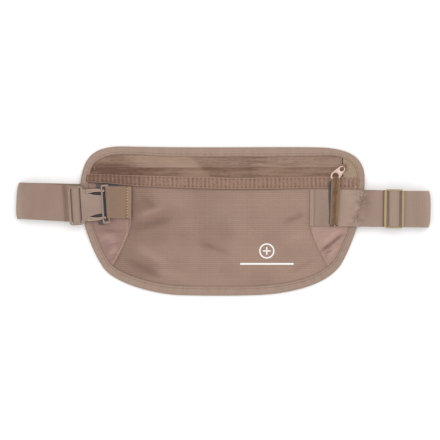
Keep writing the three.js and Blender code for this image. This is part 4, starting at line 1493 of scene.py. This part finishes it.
def pull_ribbon():
    """Folded ribbon through the puller's tail: it goes up under the tail's rim and comes back on top."""
    under = [(-3.4, 11.3), (6.0, 11.0), (20.0, 10.9), (28.0, 10.6), (33.0, 10.3), (37.0, 10.0)]
    under.append((40.0, 9.75))
    turn = [(43.0, 9.6), (44.5, 10.3), (44.2, 11.3), (42.2, 11.9)]
    over = [(39.0, 12.3), (35.0, 12.5), (28.0, 12.3), (18.0, 12.0), (6.0, 12.0), (RIBBON_LOW, 12.1)]
    line = softened_line(resampled([(0, y, z) for y, z in under + turn + over], 0.8), 4)
    y = line[:, 1]
    left, right = ribbon_edges(y)
    top_layer = np.arange(len(line)) > int(np.argmax(y))
    squeeze = 2.8 * smooth_step(y, 40.6, 43.2)
    # the lower layer is moved left so that a strip of it shows beside the upper one
    shadow_shift = np.where(top_layer, 0, 1.2 * smooth_step(y, 4, 28) + 1.0) * (1 - smooth_step(y, 39.0, 43.0))
    line[:, 0] = (left + right) / 2 - shadow_shift
    across = np.tile([1.0, 0.03, 0.0], (len(line), 1))
    # that strip gets the painted gap shadow, standing in for the ribbon's cast shadow
    shadow_strip = 1 - smooth_step(np.linspace(0, 1, RIBBON_COLUMNS), 0.25, 0.4)
    shade = np.where(top_layer, 0.0, -3.0)[:, None] * shadow_strip
    obj, _ = strip_piece("pull_ribbon_loop", line, across, right - left - squeeze, 0.45, "ribbon",
                         columns=RIBBON_COLUMNS, body="ribbon", ripple=0.12, shade=shade)
    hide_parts("pull_ribbon")


FRAYS = 22
FRAY_START = 108.7
FRAY_PITCH = 0.36


def ribbon_frays():
    """Loose thread ends below the ribbon's cut, some of them red and a few pale."""
    frays = {"ribbon": [], "red_thread": [], "piping": []}
    for k in range(FRAYS):
        x = FRAY_START + FRAY_PITCH * k
        wander = noise.noise(Vector((k * 2.3, 5.0, 1.0)))
        length = 1.5 + 1.1 * noise.noise(Vector((k * 1.7, 0.3, 2.0)))
        colour = "piping" if 11 <= k <= 14 else ("red_thread" if k % 4 == 1 else "ribbon")
        centre = (x, RIBBON_LOW - length / 2 + 0.3, 12.0)
        frays[colour].append((centre, (0.5 * wander, -1.0, 0.0), length))
    for colour, ends in frays.items():
        verts, faces = [], []
        for centre, direction, length in ends:
            direction = np.array(direction) / np.linalg.norm(direction)
            more, quads = stitch_mesh([np.array(centre)], [direction], length, 0.2)
            start = len(verts)
            verts += more
            faces += [tuple(start + i for i in quad) for quad in quads]
        new_piece(f"ribbon_fray_{colour}", verts, faces, colour, body="ribbon", slot="ribbon")


# ---------- printed mark: a plain ring, a cross and a bar ----------
def printed_shape(name, outline_rows):
    flat = np.array(outline_rows, float)
    points = raised(flat, lambda x, y: front_z(x, y) + 0.06)
    cloth_piece(name, points, 0.05, "print", slot="ripstop")


MARK_CENTRE = np.array([44.2, -30.8])
RING_RADII = (6.4, 7.1, 7.8)  # inside, middle and outside of the ring's line
CROSS = (4.0, 0.65)  # half length and half width of its strokes
BAR_ENDS = (17, 71.5)
BAR_ROWS = (-44.9, -44.0, -43.1)


def printed_mark():
    turn = np.linspace(0, 2 * math.pi, 49)
    ring = [[MARK_CENTRE + r * np.array([math.cos(t), math.sin(t)]) for r in RING_RADII] for t in turn]
    printed_shape("print_ring", ring)
    share = np.linspace(-1, 1, 9)
    for name, size in (("print_cross_level", CROSS), ("print_cross_upright", CROSS[::-1])):
        rows = [[MARK_CENTRE + np.array([sx * size[0], sy * size[1]]) for sx in share] for sy in share]
        printed_shape(name, rows)
    bar = [[(x, y) for x in np.linspace(*BAR_ENDS, 55)] for y in BAR_ROWS]
    printed_shape("print_bar", bar)


elastic_strap()
strap_sewing()
webbing_hump("triglide_hump", "triglide_webbing_loop", (TRIGLIDE_X, right_middle(TRIGLIDE_X)),
             YAW_RIGHT, 5.8, "adjuster", 0.2)
webbing_hump("buckle_hump", "buckle_webbing_loop", in_buckle(-26.3, 0), BUCKLE_YAW, 4.2, "plate", -0.05)
tab_webbing()
fittings()
pull_ribbon()
ribbon_frays()
printed_mark()
